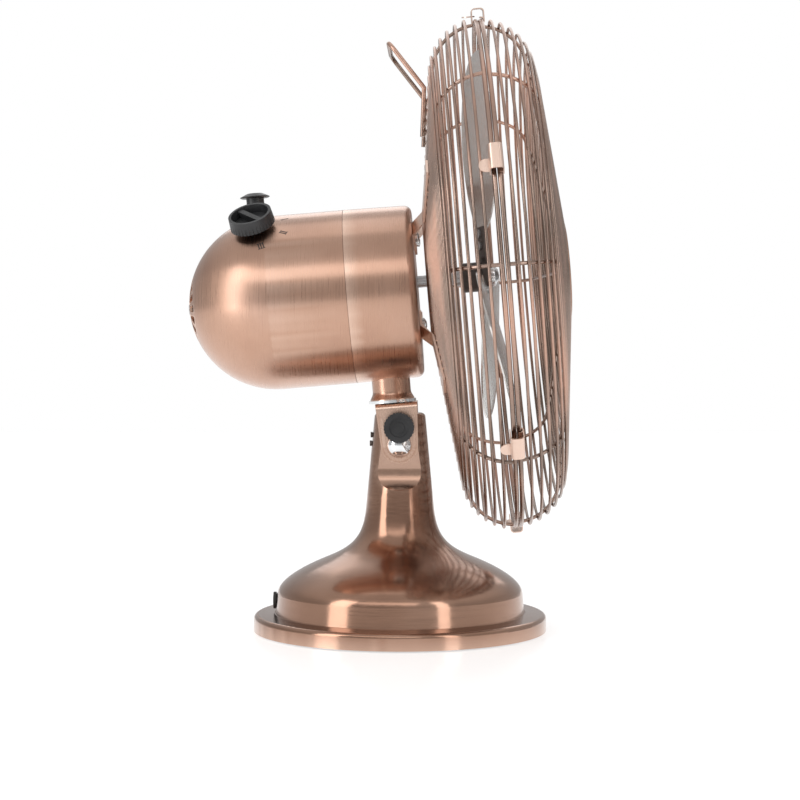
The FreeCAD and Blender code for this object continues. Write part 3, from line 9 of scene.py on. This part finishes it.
import bmesh
import bpy
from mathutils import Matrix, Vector


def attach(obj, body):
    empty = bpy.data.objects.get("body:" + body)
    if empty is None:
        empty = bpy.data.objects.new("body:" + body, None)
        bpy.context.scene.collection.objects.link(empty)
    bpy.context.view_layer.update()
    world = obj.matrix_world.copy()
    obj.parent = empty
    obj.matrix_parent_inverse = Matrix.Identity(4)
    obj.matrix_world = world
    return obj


MM = 0.001
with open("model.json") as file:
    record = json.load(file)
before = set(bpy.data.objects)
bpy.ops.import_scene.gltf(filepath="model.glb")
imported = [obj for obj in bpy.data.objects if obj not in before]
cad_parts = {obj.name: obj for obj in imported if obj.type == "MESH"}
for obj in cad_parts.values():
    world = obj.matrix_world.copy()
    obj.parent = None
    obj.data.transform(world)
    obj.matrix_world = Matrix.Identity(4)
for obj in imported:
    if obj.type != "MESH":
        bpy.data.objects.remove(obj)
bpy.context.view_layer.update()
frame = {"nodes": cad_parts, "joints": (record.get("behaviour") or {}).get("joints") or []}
nodes = frame["nodes"]
joints = {j["name"]: j for j in frame["joints"]}

# ---------------------------------------------------------------- head frame
Y_AXIS = Vector((0, 1, 0))
SHAFT = Vector(joints["blade_spin"]["axis"]).normalized()
NECK = Vector(joints["head_oscillation"]["axis"]).normalized()
CAGE = Vector(joints["blade_spin"]["pos_m"])
DIAL = Vector(joints["speed_select"]["axis"]).normalized()


def head(u, y, v):
    """Point of the head frame (mm) in the row frame (m)."""
    return CAGE + (SHAFT * u + Y_AXIS * y + NECK * v) * MM


# ---------------------------------------------------------------- shader helpers
NOISE_LOW = 0.3           # most of a noise's values lie between these
NOISE_HIGH = 0.7
EDGE_LOW = 0.53           # pointiness where an edge starts to show wear
EDGE_HIGH = 0.62          # and where it is fully worn
QUARTER_TURN = 0.25       # of a full turn, for the anisotropic rotation


def new_material(name, colour, metallic, roughness):
    """Principled material and its pieces."""
    mat = bpy.data.materials.new(name)
    mat.use_nodes = True
    tree = mat.node_tree
    shader = tree.nodes["Principled BSDF"]
    shader.inputs["Base Color"].default_value = (*colour, 1)
    shader.inputs["Metallic"].default_value = metallic
    shader.inputs["Roughness"].default_value = roughness
    return mat, tree, shader


def add(tree, kind, **values):
    """Node with properties and input defaults."""
    node = tree.nodes.new(kind)
    for key, value in values.items():
        if hasattr(node, key):
            setattr(node, key, value)
        else:
            node.inputs[key.replace("_", " ")].default_value = value
    return node


def link(tree, a, b):
    """Connect two sockets."""
    tree.links.new(a, b)


def coords(tree, turn, stretch):
    """Object coordinates, turned by Euler degrees and stretched per axis."""
    place = tree.nodes.new("ShaderNodeTexCoord")
    mapping = tree.nodes.new("ShaderNodeMapping")
    mapping.vector_type = "POINT"
    mapping.inputs["Rotation"].default_value = [math.radians(a) for a in turn]
    mapping.inputs["Scale"].default_value = stretch
    link(tree, place.outputs["Object"], mapping.inputs["Vector"])
    return mapping.outputs["Vector"]


def round_coords(tree, fine, slow):
    """Coordinates that run quickly across lathe marks and slowly round the Z axis."""
    place = tree.nodes.new("ShaderNodeTexCoord")
    split = tree.nodes.new("ShaderNodeSeparateXYZ")
    link(tree, place.outputs["Object"], split.inputs[0])
    angle = add(tree, "ShaderNodeMath", operation="ARCTAN2")
    link(tree, split.outputs["Y"], angle.inputs[0])
    link(tree, split.outputs["X"], angle.inputs[1])
    flat = tree.nodes.new("ShaderNodeCombineXYZ")
    link(tree, split.outputs["X"], flat.inputs["X"])
    link(tree, split.outputs["Y"], flat.inputs["Y"])
    radius = add(tree, "ShaderNodeVectorMath", operation="LENGTH")
    link(tree, flat.outputs[0], radius.inputs[0])
    out = tree.nodes.new("ShaderNodeCombineXYZ")
    for source, target, k in ((radius.outputs["Value"], "X", fine), (angle.outputs[0], "Y", slow),
                              (split.outputs["Z"], "Z", fine)):
        times = add(tree, "ShaderNodeMath", operation="MULTIPLY")
        times.inputs[1].default_value = k
        link(tree, source, times.inputs[0])
        link(tree, times.outputs[0], out.inputs[target])
    return out.outputs[0]


def noise(tree, vector, scale, detail=5.0, rough=0.6):
    """Noise texture output."""
    tex = add(tree, "ShaderNodeTexNoise")
    tex.inputs["Scale"].default_value = scale
    tex.inputs["Detail"].default_value = detail
    tex.inputs["Roughness"].default_value = rough
    link(tree, vector, tex.inputs["Vector"])
    return tex.outputs["Fac"]


def ramp(tree, source, stops):
    """Colour ramp from (position, colour) stops."""
    node = tree.nodes.new("ShaderNodeValToRGB")
    band = node.color_ramp
    while len(band.elements) < len(stops):
        band.elements.new(0.5)
    for element, (at, colour) in zip(band.elements, stops):
        element.position = at
        element.color = (*colour, 1)
    link(tree, source, node.inputs["Fac"])
    return node.outputs["Color"]


def spread(tree, source, low, high):
    """Map the middle of a noise to low..high."""
    node = add(tree, "ShaderNodeMapRange")
    node.inputs["From Min"].default_value = NOISE_LOW
    node.inputs["From Max"].default_value = NOISE_HIGH
    node.inputs["To Min"].default_value = low
    node.inputs["To Max"].default_value = high
    link(tree, source, node.inputs["Value"])
    return node.outputs["Result"]


def blend(tree, factor, a, b, mode="MIX"):
    """Mix two colours; sockets or tuples."""
    node = tree.nodes.new("ShaderNodeMix")
    node.data_type = "RGBA"
    node.blend_type = mode
    for value, name in ((factor, "Factor_Float"), (a, "A_Color"), (b, "B_Color")):
        socket = next(s for s in node.inputs if s.identifier == name)
        if isinstance(value, bpy.types.NodeSocket):
            link(tree, value, socket)
        elif name == "Factor_Float":
            socket.default_value = value
        else:
            socket.default_value = (*value, 1)
    return next(s for s in node.outputs if s.identifier == "Result_Color")


def bump(tree, shader, height, strength, depth):
    """Bump from a height socket."""
    node = add(tree, "ShaderNodeBump")
    node.inputs["Strength"].default_value = strength
    node.inputs["Distance"].default_value = depth
    link(tree, height, node.inputs["Height"])
    link(tree, node.outputs["Normal"], shader.inputs["Normal"])


def edge_mask(tree):
    """1 on sharp outer edges."""
    geo = tree.nodes.new("ShaderNodeNewGeometry")
    node = add(tree, "ShaderNodeMapRange")
    node.inputs["From Min"].default_value = EDGE_LOW
    node.inputs["From Max"].default_value = EDGE_HIGH
    link(tree, geo.outputs["Pointiness"], node.inputs["Value"])
    return node.outputs["Result"]


# ---------------------------------------------------------------- finishes
BRUSH_PULL = 0.75         # how far brushing draws out a reflection
COAT_WEIGHT = 0.35        # clear lacquer over brushed copper
COAT_ROUGH = 0.22
BLOTCH_SCALE = 17.0       # slow tone changes over the copper
BRUSH_DEPTH = 0.00006     # relief of the brush marks
TONE_SCALE = 60.0         # slow tone changes over cast and moulded pieces
PATCH_SCALE = 13.0        # copper and grey patches along the wire
SCRATCH_SCALE = 900.0
SCRATCH_DEPTH = 0.00005
PLATE_DEPTH = 0.0003      # relief of laminations and winding turns
WAVE_TURN = 6.3           # wave texture runs about one radian per unit of scale
FIBRE_SCALE = 1400.0
FIBRE_DEPTH = 0.0004


def smear(tree, shader, axis, amount):
    """Brush marks round an axis: reflections drawn out across the marks."""
    tangent = tree.nodes.new("ShaderNodeTangent")
    tangent.direction_type = "RADIAL"
    tangent.axis = axis
    link(tree, tangent.outputs[0], shader.inputs["Tangent"])
    shader.inputs["Anisotropic"].default_value = amount
    shader.inputs["Anisotropic Rotation"].default_value = QUARTER_TURN


def lacquer(shader, weight, rough):
    """Clear coat over the metal."""
    shader.inputs["Coat Weight"].default_value = weight
    shader.inputs["Coat Roughness"].default_value = rough


def brushed(name, tones, rough, vector_of, grain=0.35, strength=0.25, axis=None):
    """Brushed metal: streaks in colour, roughness and bump over slow blotches."""
    mat, tree, shader = new_material(name, tones[1], 1.0, rough)
    lacquer(shader, COAT_WEIGHT, COAT_ROUGH)
    if axis:
        smear(tree, shader, axis, BRUSH_PULL)
    streak = noise(tree, vector_of(tree), 1.0, 6.0, 0.65)
    blotch = noise(tree, coords(tree, (0, 0, 0), (1, 1, 1)), BLOTCH_SCALE, 3.0, 0.5)
    base = ramp(tree, blotch, ((0.32, tones[0]), (0.52, tones[1]), (0.72, tones[2])))
    lines = ramp(tree, streak, ((0.30, (0.62,) * 3), (0.50, (0.95,) * 3), (0.72, (1.0,) * 3)))
    colour = blend(tree, grain, base, lines, "MULTIPLY")
    worn = blend(tree, edge_mask(tree), colour, tones[3])
    link(tree, worn, shader.inputs["Base Color"])
    link(tree, spread(tree, streak, rough - 0.06, rough + 0.08), shader.inputs["Roughness"])
    bump(tree, shader, streak, strength, BRUSH_DEPTH)
    return mat


def cast(name, tones, metallic, rough, scale, strength, depth):
    """Moulded, cast or plated surface: fine grain and slow tone changes."""
    mat, tree, shader = new_material(name, tones[0], metallic, rough)
    place = coords(tree, (0, 0, 0), (1, 1, 1))
    fine = noise(tree, place, scale, 4.0, 0.6)
    slow = noise(tree, place, TONE_SCALE, 3.0, 0.5)
    colour = ramp(tree, slow, ((0.35, tones[0]), (0.65, tones[1])))
    link(tree, colour, shader.inputs["Base Color"])
    link(tree, spread(tree, fine, rough - 0.06, rough + 0.08), shader.inputs["Roughness"])
    bump(tree, shader, fine, strength, depth)
    return mat


def wire_finish(name, tones):
    """Copper-washed wire: copper and grey patches along it, darker where it is dull."""
    mat, tree, shader = new_material(name, tones[1], 1.0, 0.27)
    place = coords(tree, (0, 0, 0), (1, 1, 1))
    patch = noise(tree, place, PATCH_SCALE, 3.0, 0.5)
    scratch = noise(tree, place, SCRATCH_SCALE, 4.0, 0.7)
    colour = ramp(tree, patch, ((0.36, tones[0]), (0.50, tones[1]), (0.62, tones[2])))
    dull = ramp(tree, scratch, ((0.35, (0.5,) * 3), (0.6, (1,) * 3)))
    colour = blend(tree, 0.25, colour, dull, "MULTIPLY")
    link(tree, colour, shader.inputs["Base Color"])
    link(tree, spread(tree, patch, 0.20, 0.36), shader.inputs["Roughness"])
    bump(tree, shader, scratch, 0.15, SCRATCH_DEPTH)
    return mat


def layered(name, tone, dark, pitch, axis_turn):
    """Stacked laminations or winding turns: fine parallel lines with relief."""
    mat, tree, shader = new_material(name, tone, 1.0, 0.4)
    wave = add(tree, "ShaderNodeTexWave")
    wave.inputs["Scale"].default_value = 1.0 / pitch / WAVE_TURN
    wave.inputs["Distortion"].default_value = 0.6
    link(tree, coords(tree, axis_turn, (1, 1, 1)), wave.inputs["Vector"])
    colour = ramp(tree, wave.outputs["Fac"], ((0.2, dark), (0.6, tone)))
    link(tree, colour, shader.inputs["Base Color"])
    bump(tree, shader, wave.outputs["Fac"], 0.5, PLATE_DEPTH)
    return mat


def felt_finish(name, tone):
    """Matted fibres."""
    mat, tree, shader = new_material(name, tone, 0.0, 0.95)
    place = coords(tree, (0, 0, 0), (1, 1, 1))
    fibre = noise(tree, place, FIBRE_SCALE, 6.0, 0.8)
    shade = tuple(c * 0.4 for c in tone)
    colour = ramp(tree, fibre, ((0.3, shade), (0.7, tone)))
    link(tree, colour, shader.inputs["Base Color"])
    bump(tree, shader, fibre, 0.8, FIBRE_DEPTH)
    shader.inputs["Sheen Weight"].default_value = 0.4
    return mat


COPPER = ((0.45, 0.26, 0.185), (0.53, 0.32, 0.23), (0.58, 0.365, 0.275), (0.74, 0.53, 0.42))
COPPER_DARK = ((0.30, 0.165, 0.11), (0.36, 0.205, 0.14), (0.41, 0.245, 0.175), (0.64, 0.43, 0.33))
CLIP_TONES = ((0.46, 0.29, 0.215), (0.54, 0.355, 0.275), (0.60, 0.41, 0.33), (0.78, 0.58, 0.48))
BLADE_TONES = ((0.55, 0.53, 0.50), (0.66, 0.64, 0.61), (0.72, 0.70, 0.67), (0.85, 0.84, 0.82))

BLACK_TONES = ((0.012, 0.012, 0.013), (0.028, 0.028, 0.030))
WIRE_TONES = ((0.27, 0.20, 0.165), (0.42, 0.29, 0.235), (0.56, 0.35, 0.27))


def housing_grain(tree):
    """Brush marks round the motor housing."""
    return coords(tree, (0, -22, 0), (2600, 40, 40))


def lathe_grain(tree):
    """Turning marks round the pedestal."""
    return round_coords(tree, 1900, 2.5)


def sheet_grain(tree):
    """Brush marks along flat copper sheet."""
    return coords(tree, (0, 8, 0), (2600, 60, 60))


def badge_grain(tree):
    """Level brush marks on the badge."""
    return coords(tree, (0, 0, 0), (60, 60, 2400))


def blade_grain(tree):
    """Polishing marks along the blades."""
    return coords(tree, (25, 0, 0), (60, 2200, 60))


finish = {
    "housing": brushed("housing_copper", COPPER, 0.30, housing_grain, axis="X"),
    "stand": brushed("stand_copper", COPPER_DARK, 0.17, lathe_grain, 0.16, 0.05, axis="Z"),
    "yoke": brushed("yoke_copper", COPPER, 0.27, sheet_grain),
    "clip": brushed("clip_copper", CLIP_TONES, 0.30, sheet_grain, 0.2, 0.1),
    "badge": brushed("badge_copper", COPPER_DARK, 0.28, badge_grain),
    "blade": brushed("blade_metal", BLADE_TONES, 0.20, blade_grain, 0.2, 0.1),
    "wire": wire_finish("guard_wire", WIRE_TONES),
    "chrome": cast("chrome", ((0.74, 0.75, 0.76), (0.86, 0.87, 0.88)), 1.0, 0.10, 1500, 0.04, 0.00003),
    "steel": cast("steel", ((0.42, 0.42, 0.43), (0.58, 0.58, 0.58)), 1.0, 0.28, 1800, 0.15, 0.00005),
    "black": cast("black_plastic", BLACK_TONES, 0.0, 0.38, 1300, 0.25, 0.00008),
    "hub": cast("hub_paint", ((0.05, 0.04, 0.035), (0.10, 0.08, 0.07)), 0.6, 0.40, 900, 0.2, 0.00008),
    "iron": cast("cast_iron", ((0.08, 0.08, 0.085), (0.15, 0.15, 0.15)), 0.8, 0.62, 500, 0.7, 0.0004),
    "zinc": cast("die_cast", ((0.32, 0.32, 0.33), (0.45, 0.45, 0.46)), 1.0, 0.45, 700, 0.4, 0.0002),
    "bronze": cast("bronze", ((0.45, 0.30, 0.13), (0.60, 0.42, 0.20)), 1.0, 0.35, 1200, 0.3, 0.0001),
    "nylon": cast("nylon", ((0.72, 0.69, 0.60), (0.80, 0.78, 0.70)), 0.0, 0.45, 900, 0.2, 0.00008),
    "moulded": cast("dark_moulding", ((0.03, 0.03, 0.03), (0.06, 0.06, 0.065)), 0.0, 0.5, 900, 0.3, 0.0001),
    "rubber": cast("rubber", ((0.015, 0.015, 0.015), (0.03, 0.03, 0.03)), 0.0, 0.7, 800, 0.5, 0.0001),
    "plates": layered("laminations", (0.34, 0.34, 0.36), (0.10, 0.10, 0.11), 0.0006, (0, 0, 0)),
    "turns": layered("windings", (0.62, 0.27, 0.11), (0.25, 0.09, 0.03), 0.0006, (0, 0, 0)),
    "felt": felt_finish("felt", (0.06, 0.06, 0.065)),
    "ink": cast("dial_ink", ((0.010, 0.009, 0.009), (0.02, 0.018, 0.017)), 0.0, 0.5, 1500, 0.1, 0.00003),
}

WEARS = {
    "housing": ["front_housing", "rear_housing"],
    "stand": ["pedestal"],
    "yoke": ["tilt_yoke", "neck_post"],
    "clip": ["guard_brackets"] + [n for n in nodes if n.startswith("guard_clip")],
    "badge": ["badge"],
    "blade": ["blade_1", "blade_2", "blade_3"],
    "wire": ["rear_guard_rim", "rear_guard_face", "front_guard_rim", "front_guard_face", "carry_handle"],
    "chrome": ["tilt_bolt", "tilt_nut", "tilt_washers", "neck_disc", "bracket_screws", "hub_nut",
               "clamp_stud"],
    "steel": ["neck_spindle", "spindle_clip", "motor_shaft", "blade_rivets", "dial_spindle", "worm",
              "crank_shaft", "crank_link", "base_screws", "rear_screw", "badge_plate", "base_cover",
              "front_bracket", "rear_bracket"],
    "black": ["tilt_knob", "oscillation_knob", "speed_dial"],
    "hub": ["blade_spider", "neck_screws"],
    "iron": ["base_weight"],
    "plates": ["stator_core", "rotor_core"],
    "turns": ["stator_coils"],
    "bronze": ["front_bearing", "rear_bearing"],
    "zinc": ["gearbox_case"],
    "nylon": ["worm_wheel"],
    "moulded": ["capacitor", "speed_switch"],
    "rubber": ["cord_grommet"],
    "felt": ["base_pad"],
}
SMOOTH_ANGLE = math.radians(32)


def dress(obj, mat):
    """Give an object one material and smooth shading with sharp edges kept."""
    obj.data.materials.clear()
    obj.data.materials.append(mat)
    obj.data.polygons.foreach_set("use_smooth", [True] * len(obj.data.polygons))
    obj.data.set_sharp_from_angle(angle=SMOOTH_ANGLE)


for look, names in WEARS.items():
    for name in names:
        dress(nodes[name], finish[look])

# ---------------------------------------------------------------- dial marks
HOUSE_R = 58.8 * MM
DOME_U = -151.0           # where the rear dome starts, along the shaft (mm)
HOUSE_DROP = 6.2          # housing axis below the shaft axis (mm)
DOME_CENTRE = head(DOME_U, 0, -HOUSE_DROP)
MARK_LIFT = 0.05 * MM
MARK_SINK = 0.12 * MM     # thickness of the printed bars
MARK_AT = 22.6 * MM       # numerals from the dial axis
MARK_H = 4.6 * MM         # numeral height
STROKE = 0.75 * MM        # width of an upright
SERIF = 0.4 * MM          # width of a serif
SERIF_REACH = 0.9 * MM    # serif past the outer upright
UPRIGHT_GAP = 1.55 * MM   # between uprights
BAR_STEPS = 5             # pieces that a bar is bent in, to follow the shell


def on_shell(p):
    """Nearest point of the motor housing's surface and its outward normal."""
    d = p - DOME_CENTRE
    along = d.dot(SHAFT)
    radial = d - SHAFT * along if along > 0 else d
    n = radial.normalized()
    return p + n * (HOUSE_R + MARK_LIFT - radial.length), n


def stroke(bm, a, b, width, base, right, up):
    """Thin raised bar between two points of a numeral's own plane."""
    along = (Vector(b) - Vector(a)).normalized()
    side = Vector((-along.y, along.x)) * width / 2
    rows = []
    for i in range(BAR_STEPS + 1):
        c = Vector(a).lerp(Vector(b), i / BAR_STEPS)
        row = []
        for s in (-1, 1):
            q = c + side * s
            p, n = on_shell(base + right * q.x + up * q.y)
            row += [bm.verts.new(p), bm.verts.new(p - n * MARK_SINK)]
        rows.append(row)
    for r0, r1 in zip(rows, rows[1:]):
        bm.faces.new((r0[0], r1[0], r1[2], r0[2]))
        bm.faces.new((r0[1], r0[3], r1[3], r1[1]))
        bm.faces.new((r0[0], r0[1], r1[1], r1[0]))
        bm.faces.new((r0[2], r1[2], r1[3], r0[3]))
    for r in (rows[0], rows[-1]):
        bm.faces.new((r[0], r[2], r[3], r[1]))


def numeral(name, count, angle):
    """Roman numeral of count strokes with serifs, at an angle round the dial."""
    flat_u = (SHAFT - DIAL * SHAFT.dot(DIAL)).normalized()
    flat_w = DIAL.cross(flat_u)
    out = flat_u * math.cos(angle) - flat_w * math.sin(angle)
    base, n = on_shell(DOME_CENTRE + DIAL * HOUSE_R + out * MARK_AT)
    up = (-out - n * (-out).dot(n)).normalized()
    right = up.cross(n).normalized()
    bm = bmesh.new()
    half = UPRIGHT_GAP * (count - 1) / 2
    for i in range(count):
        x = i * UPRIGHT_GAP - half
        stroke(bm, (x, -MARK_H / 2), (x, MARK_H / 2), STROKE, base, right, up)
    for y in (-MARK_H / 2, MARK_H / 2):
        reach = half + SERIF_REACH
        stroke(bm, (-reach, y), (reach, y), SERIF, base, right, up)
    bmesh.ops.recalc_face_normals(bm, faces=bm.faces)
    mesh = bpy.data.meshes.new(name)
    bm.to_mesh(mesh)
    bm.free()
    obj = bpy.data.objects.new(name, mesh)
    bpy.context.scene.collection.objects.link(obj)
    mesh.materials.append(finish["ink"])
    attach(obj, "head")


MARKS = (("mark_three", 3, 77), ("mark_two", 2, 27), ("mark_one", 1, -25))   # strokes, degrees
for name, count, degrees in MARKS:
    numeral(name, count, math.radians(degrees))

# ---------------------------------------------------------------- studio
FLOOR_HALF = 3.0
FLOOR_GLOW = 0.50         # the table is lit from below as well
FLOOR_TONE = (0.75, 0.75, 0.75)
FLOOR_ROUGH = 0.20
FLOOR_SHEEN = 0.3         # how strongly the table reflects
HORIZON = 0.50            # brightness of the room at eye level
CEILING = 0.72            # and overhead
CAMERA_AT = (0.031, -1.282, 0.1925)
CAMERA_AIM = (0.0, 0.0, 0.1567)
LENS = 84.9               # mm, on a 36 mm sensor
SENSOR = 36.0
LIGHTS = (                # name, place, target, size (m), power (W)
    ("left", (-1.25, -0.85, 0.62), (0, 0, 0.25), (0.55, 1.5), 9.0),
    ("wide", (-0.25, -1.35, 1.15), (0, 0, 0.3), (1.6, 0.5), 3.2),
    ("right", (0.95, -1.10, 0.60), (0, 0, 0.25), (0.30, 1.5), 3.6),
    ("back", (0.1, 1.5, 1.1), (0, 0, 0.2), (1.6, 0.7), 3.5),
    ("top", (0.0, 0.3, 1.6), (0, 0, 0.0), (1.2, 0.8), 1.6),
)


def make_floor():
    """Pale glossy floor."""
    mesh = bpy.data.meshes.new("floor")
    h = FLOOR_HALF
    mesh.from_pydata([(-h, -h, 0), (h, -h, 0), (h, h, 0), (-h, h, 0)], [], [(0, 1, 2, 3)])
    obj = bpy.data.objects.new("floor", mesh)
    bpy.context.scene.collection.objects.link(obj)
    mat, tree, shader = new_material("floor_white", FLOOR_TONE, 0.0, FLOOR_ROUGH)
    shader.inputs["Specular IOR Level"].default_value = FLOOR_SHEEN
    shader.inputs["Emission Color"].default_value = (1, 1, 1, 1)
    shader.inputs["Emission Strength"].default_value = FLOOR_GLOW
    mesh.materials.append(mat)


def area_light(name, place, target, size, power):
    """Soft rectangular light aimed at a point."""
    data = bpy.data.lights.new(name, "AREA")
    data.shape = "RECTANGLE"
    data.size, data.size_y = size
    data.energy = power
    obj = bpy.data.objects.new(name, data)
    obj.location = place
    obj.rotation_euler = (Vector(target) - Vector(place)).to_track_quat("-Z", "Y").to_euler()
    bpy.context.scene.collection.objects.link(obj)


def make_world():
    """White to the eye; to everything else a mid-grey room with a paler ceiling."""
    world = bpy.data.worlds.new("studio")
    bpy.context.scene.world = world
    world.use_nodes = True
    tree = world.node_tree
    tree.nodes.clear()
    out = tree.nodes.new("ShaderNodeOutputWorld")
    place = tree.nodes.new("ShaderNodeTexCoord")
    split = tree.nodes.new("ShaderNodeSeparateXYZ")
    link(tree, place.outputs["Generated"], split.inputs[0])
    sky = ramp(tree, split.outputs["Z"], ((0.0, (HORIZON,) * 3), (0.35, (HORIZON,) * 3),
                                          (0.65, (CEILING,) * 3), (1.0, (CEILING,) * 3)))
    room = add(tree, "ShaderNodeBackground", Strength=1.0)
    link(tree, sky, room.inputs["Color"])
    white = add(tree, "ShaderNodeBackground", Strength=1.0)
    white.inputs["Color"].default_value = (1, 1, 1, 1)
    path = tree.nodes.new("ShaderNodeLightPath")
    mix = tree.nodes.new("ShaderNodeMixShader")
    link(tree, path.outputs["Is Camera Ray"], mix.inputs[0])
    link(tree, room.outputs[0], mix.inputs[1])
    link(tree, white.outputs[0], mix.inputs[2])
    link(tree, mix.outputs[0], out.inputs["Surface"])



def make_camera():
    """Side view, a little ahead of square, from table height."""
    data = bpy.data.cameras.new("camera")
    data.lens = LENS
    data.sensor_width = SENSOR
    obj = bpy.data.objects.new("camera", data)
    obj.location = CAMERA_AT
    obj.rotation_euler = (Vector(CAMERA_AIM) - Vector(CAMERA_AT)).to_track_quat("-Z", "Y").to_euler()
    bpy.context.scene.collection.objects.link(obj)
    bpy.context.scene.camera = obj


make_floor()
make_world()
for light in LIGHTS:
    area_light(*light)
make_camera()
bpy.context.scene.view_settings.view_transform = "Standard"
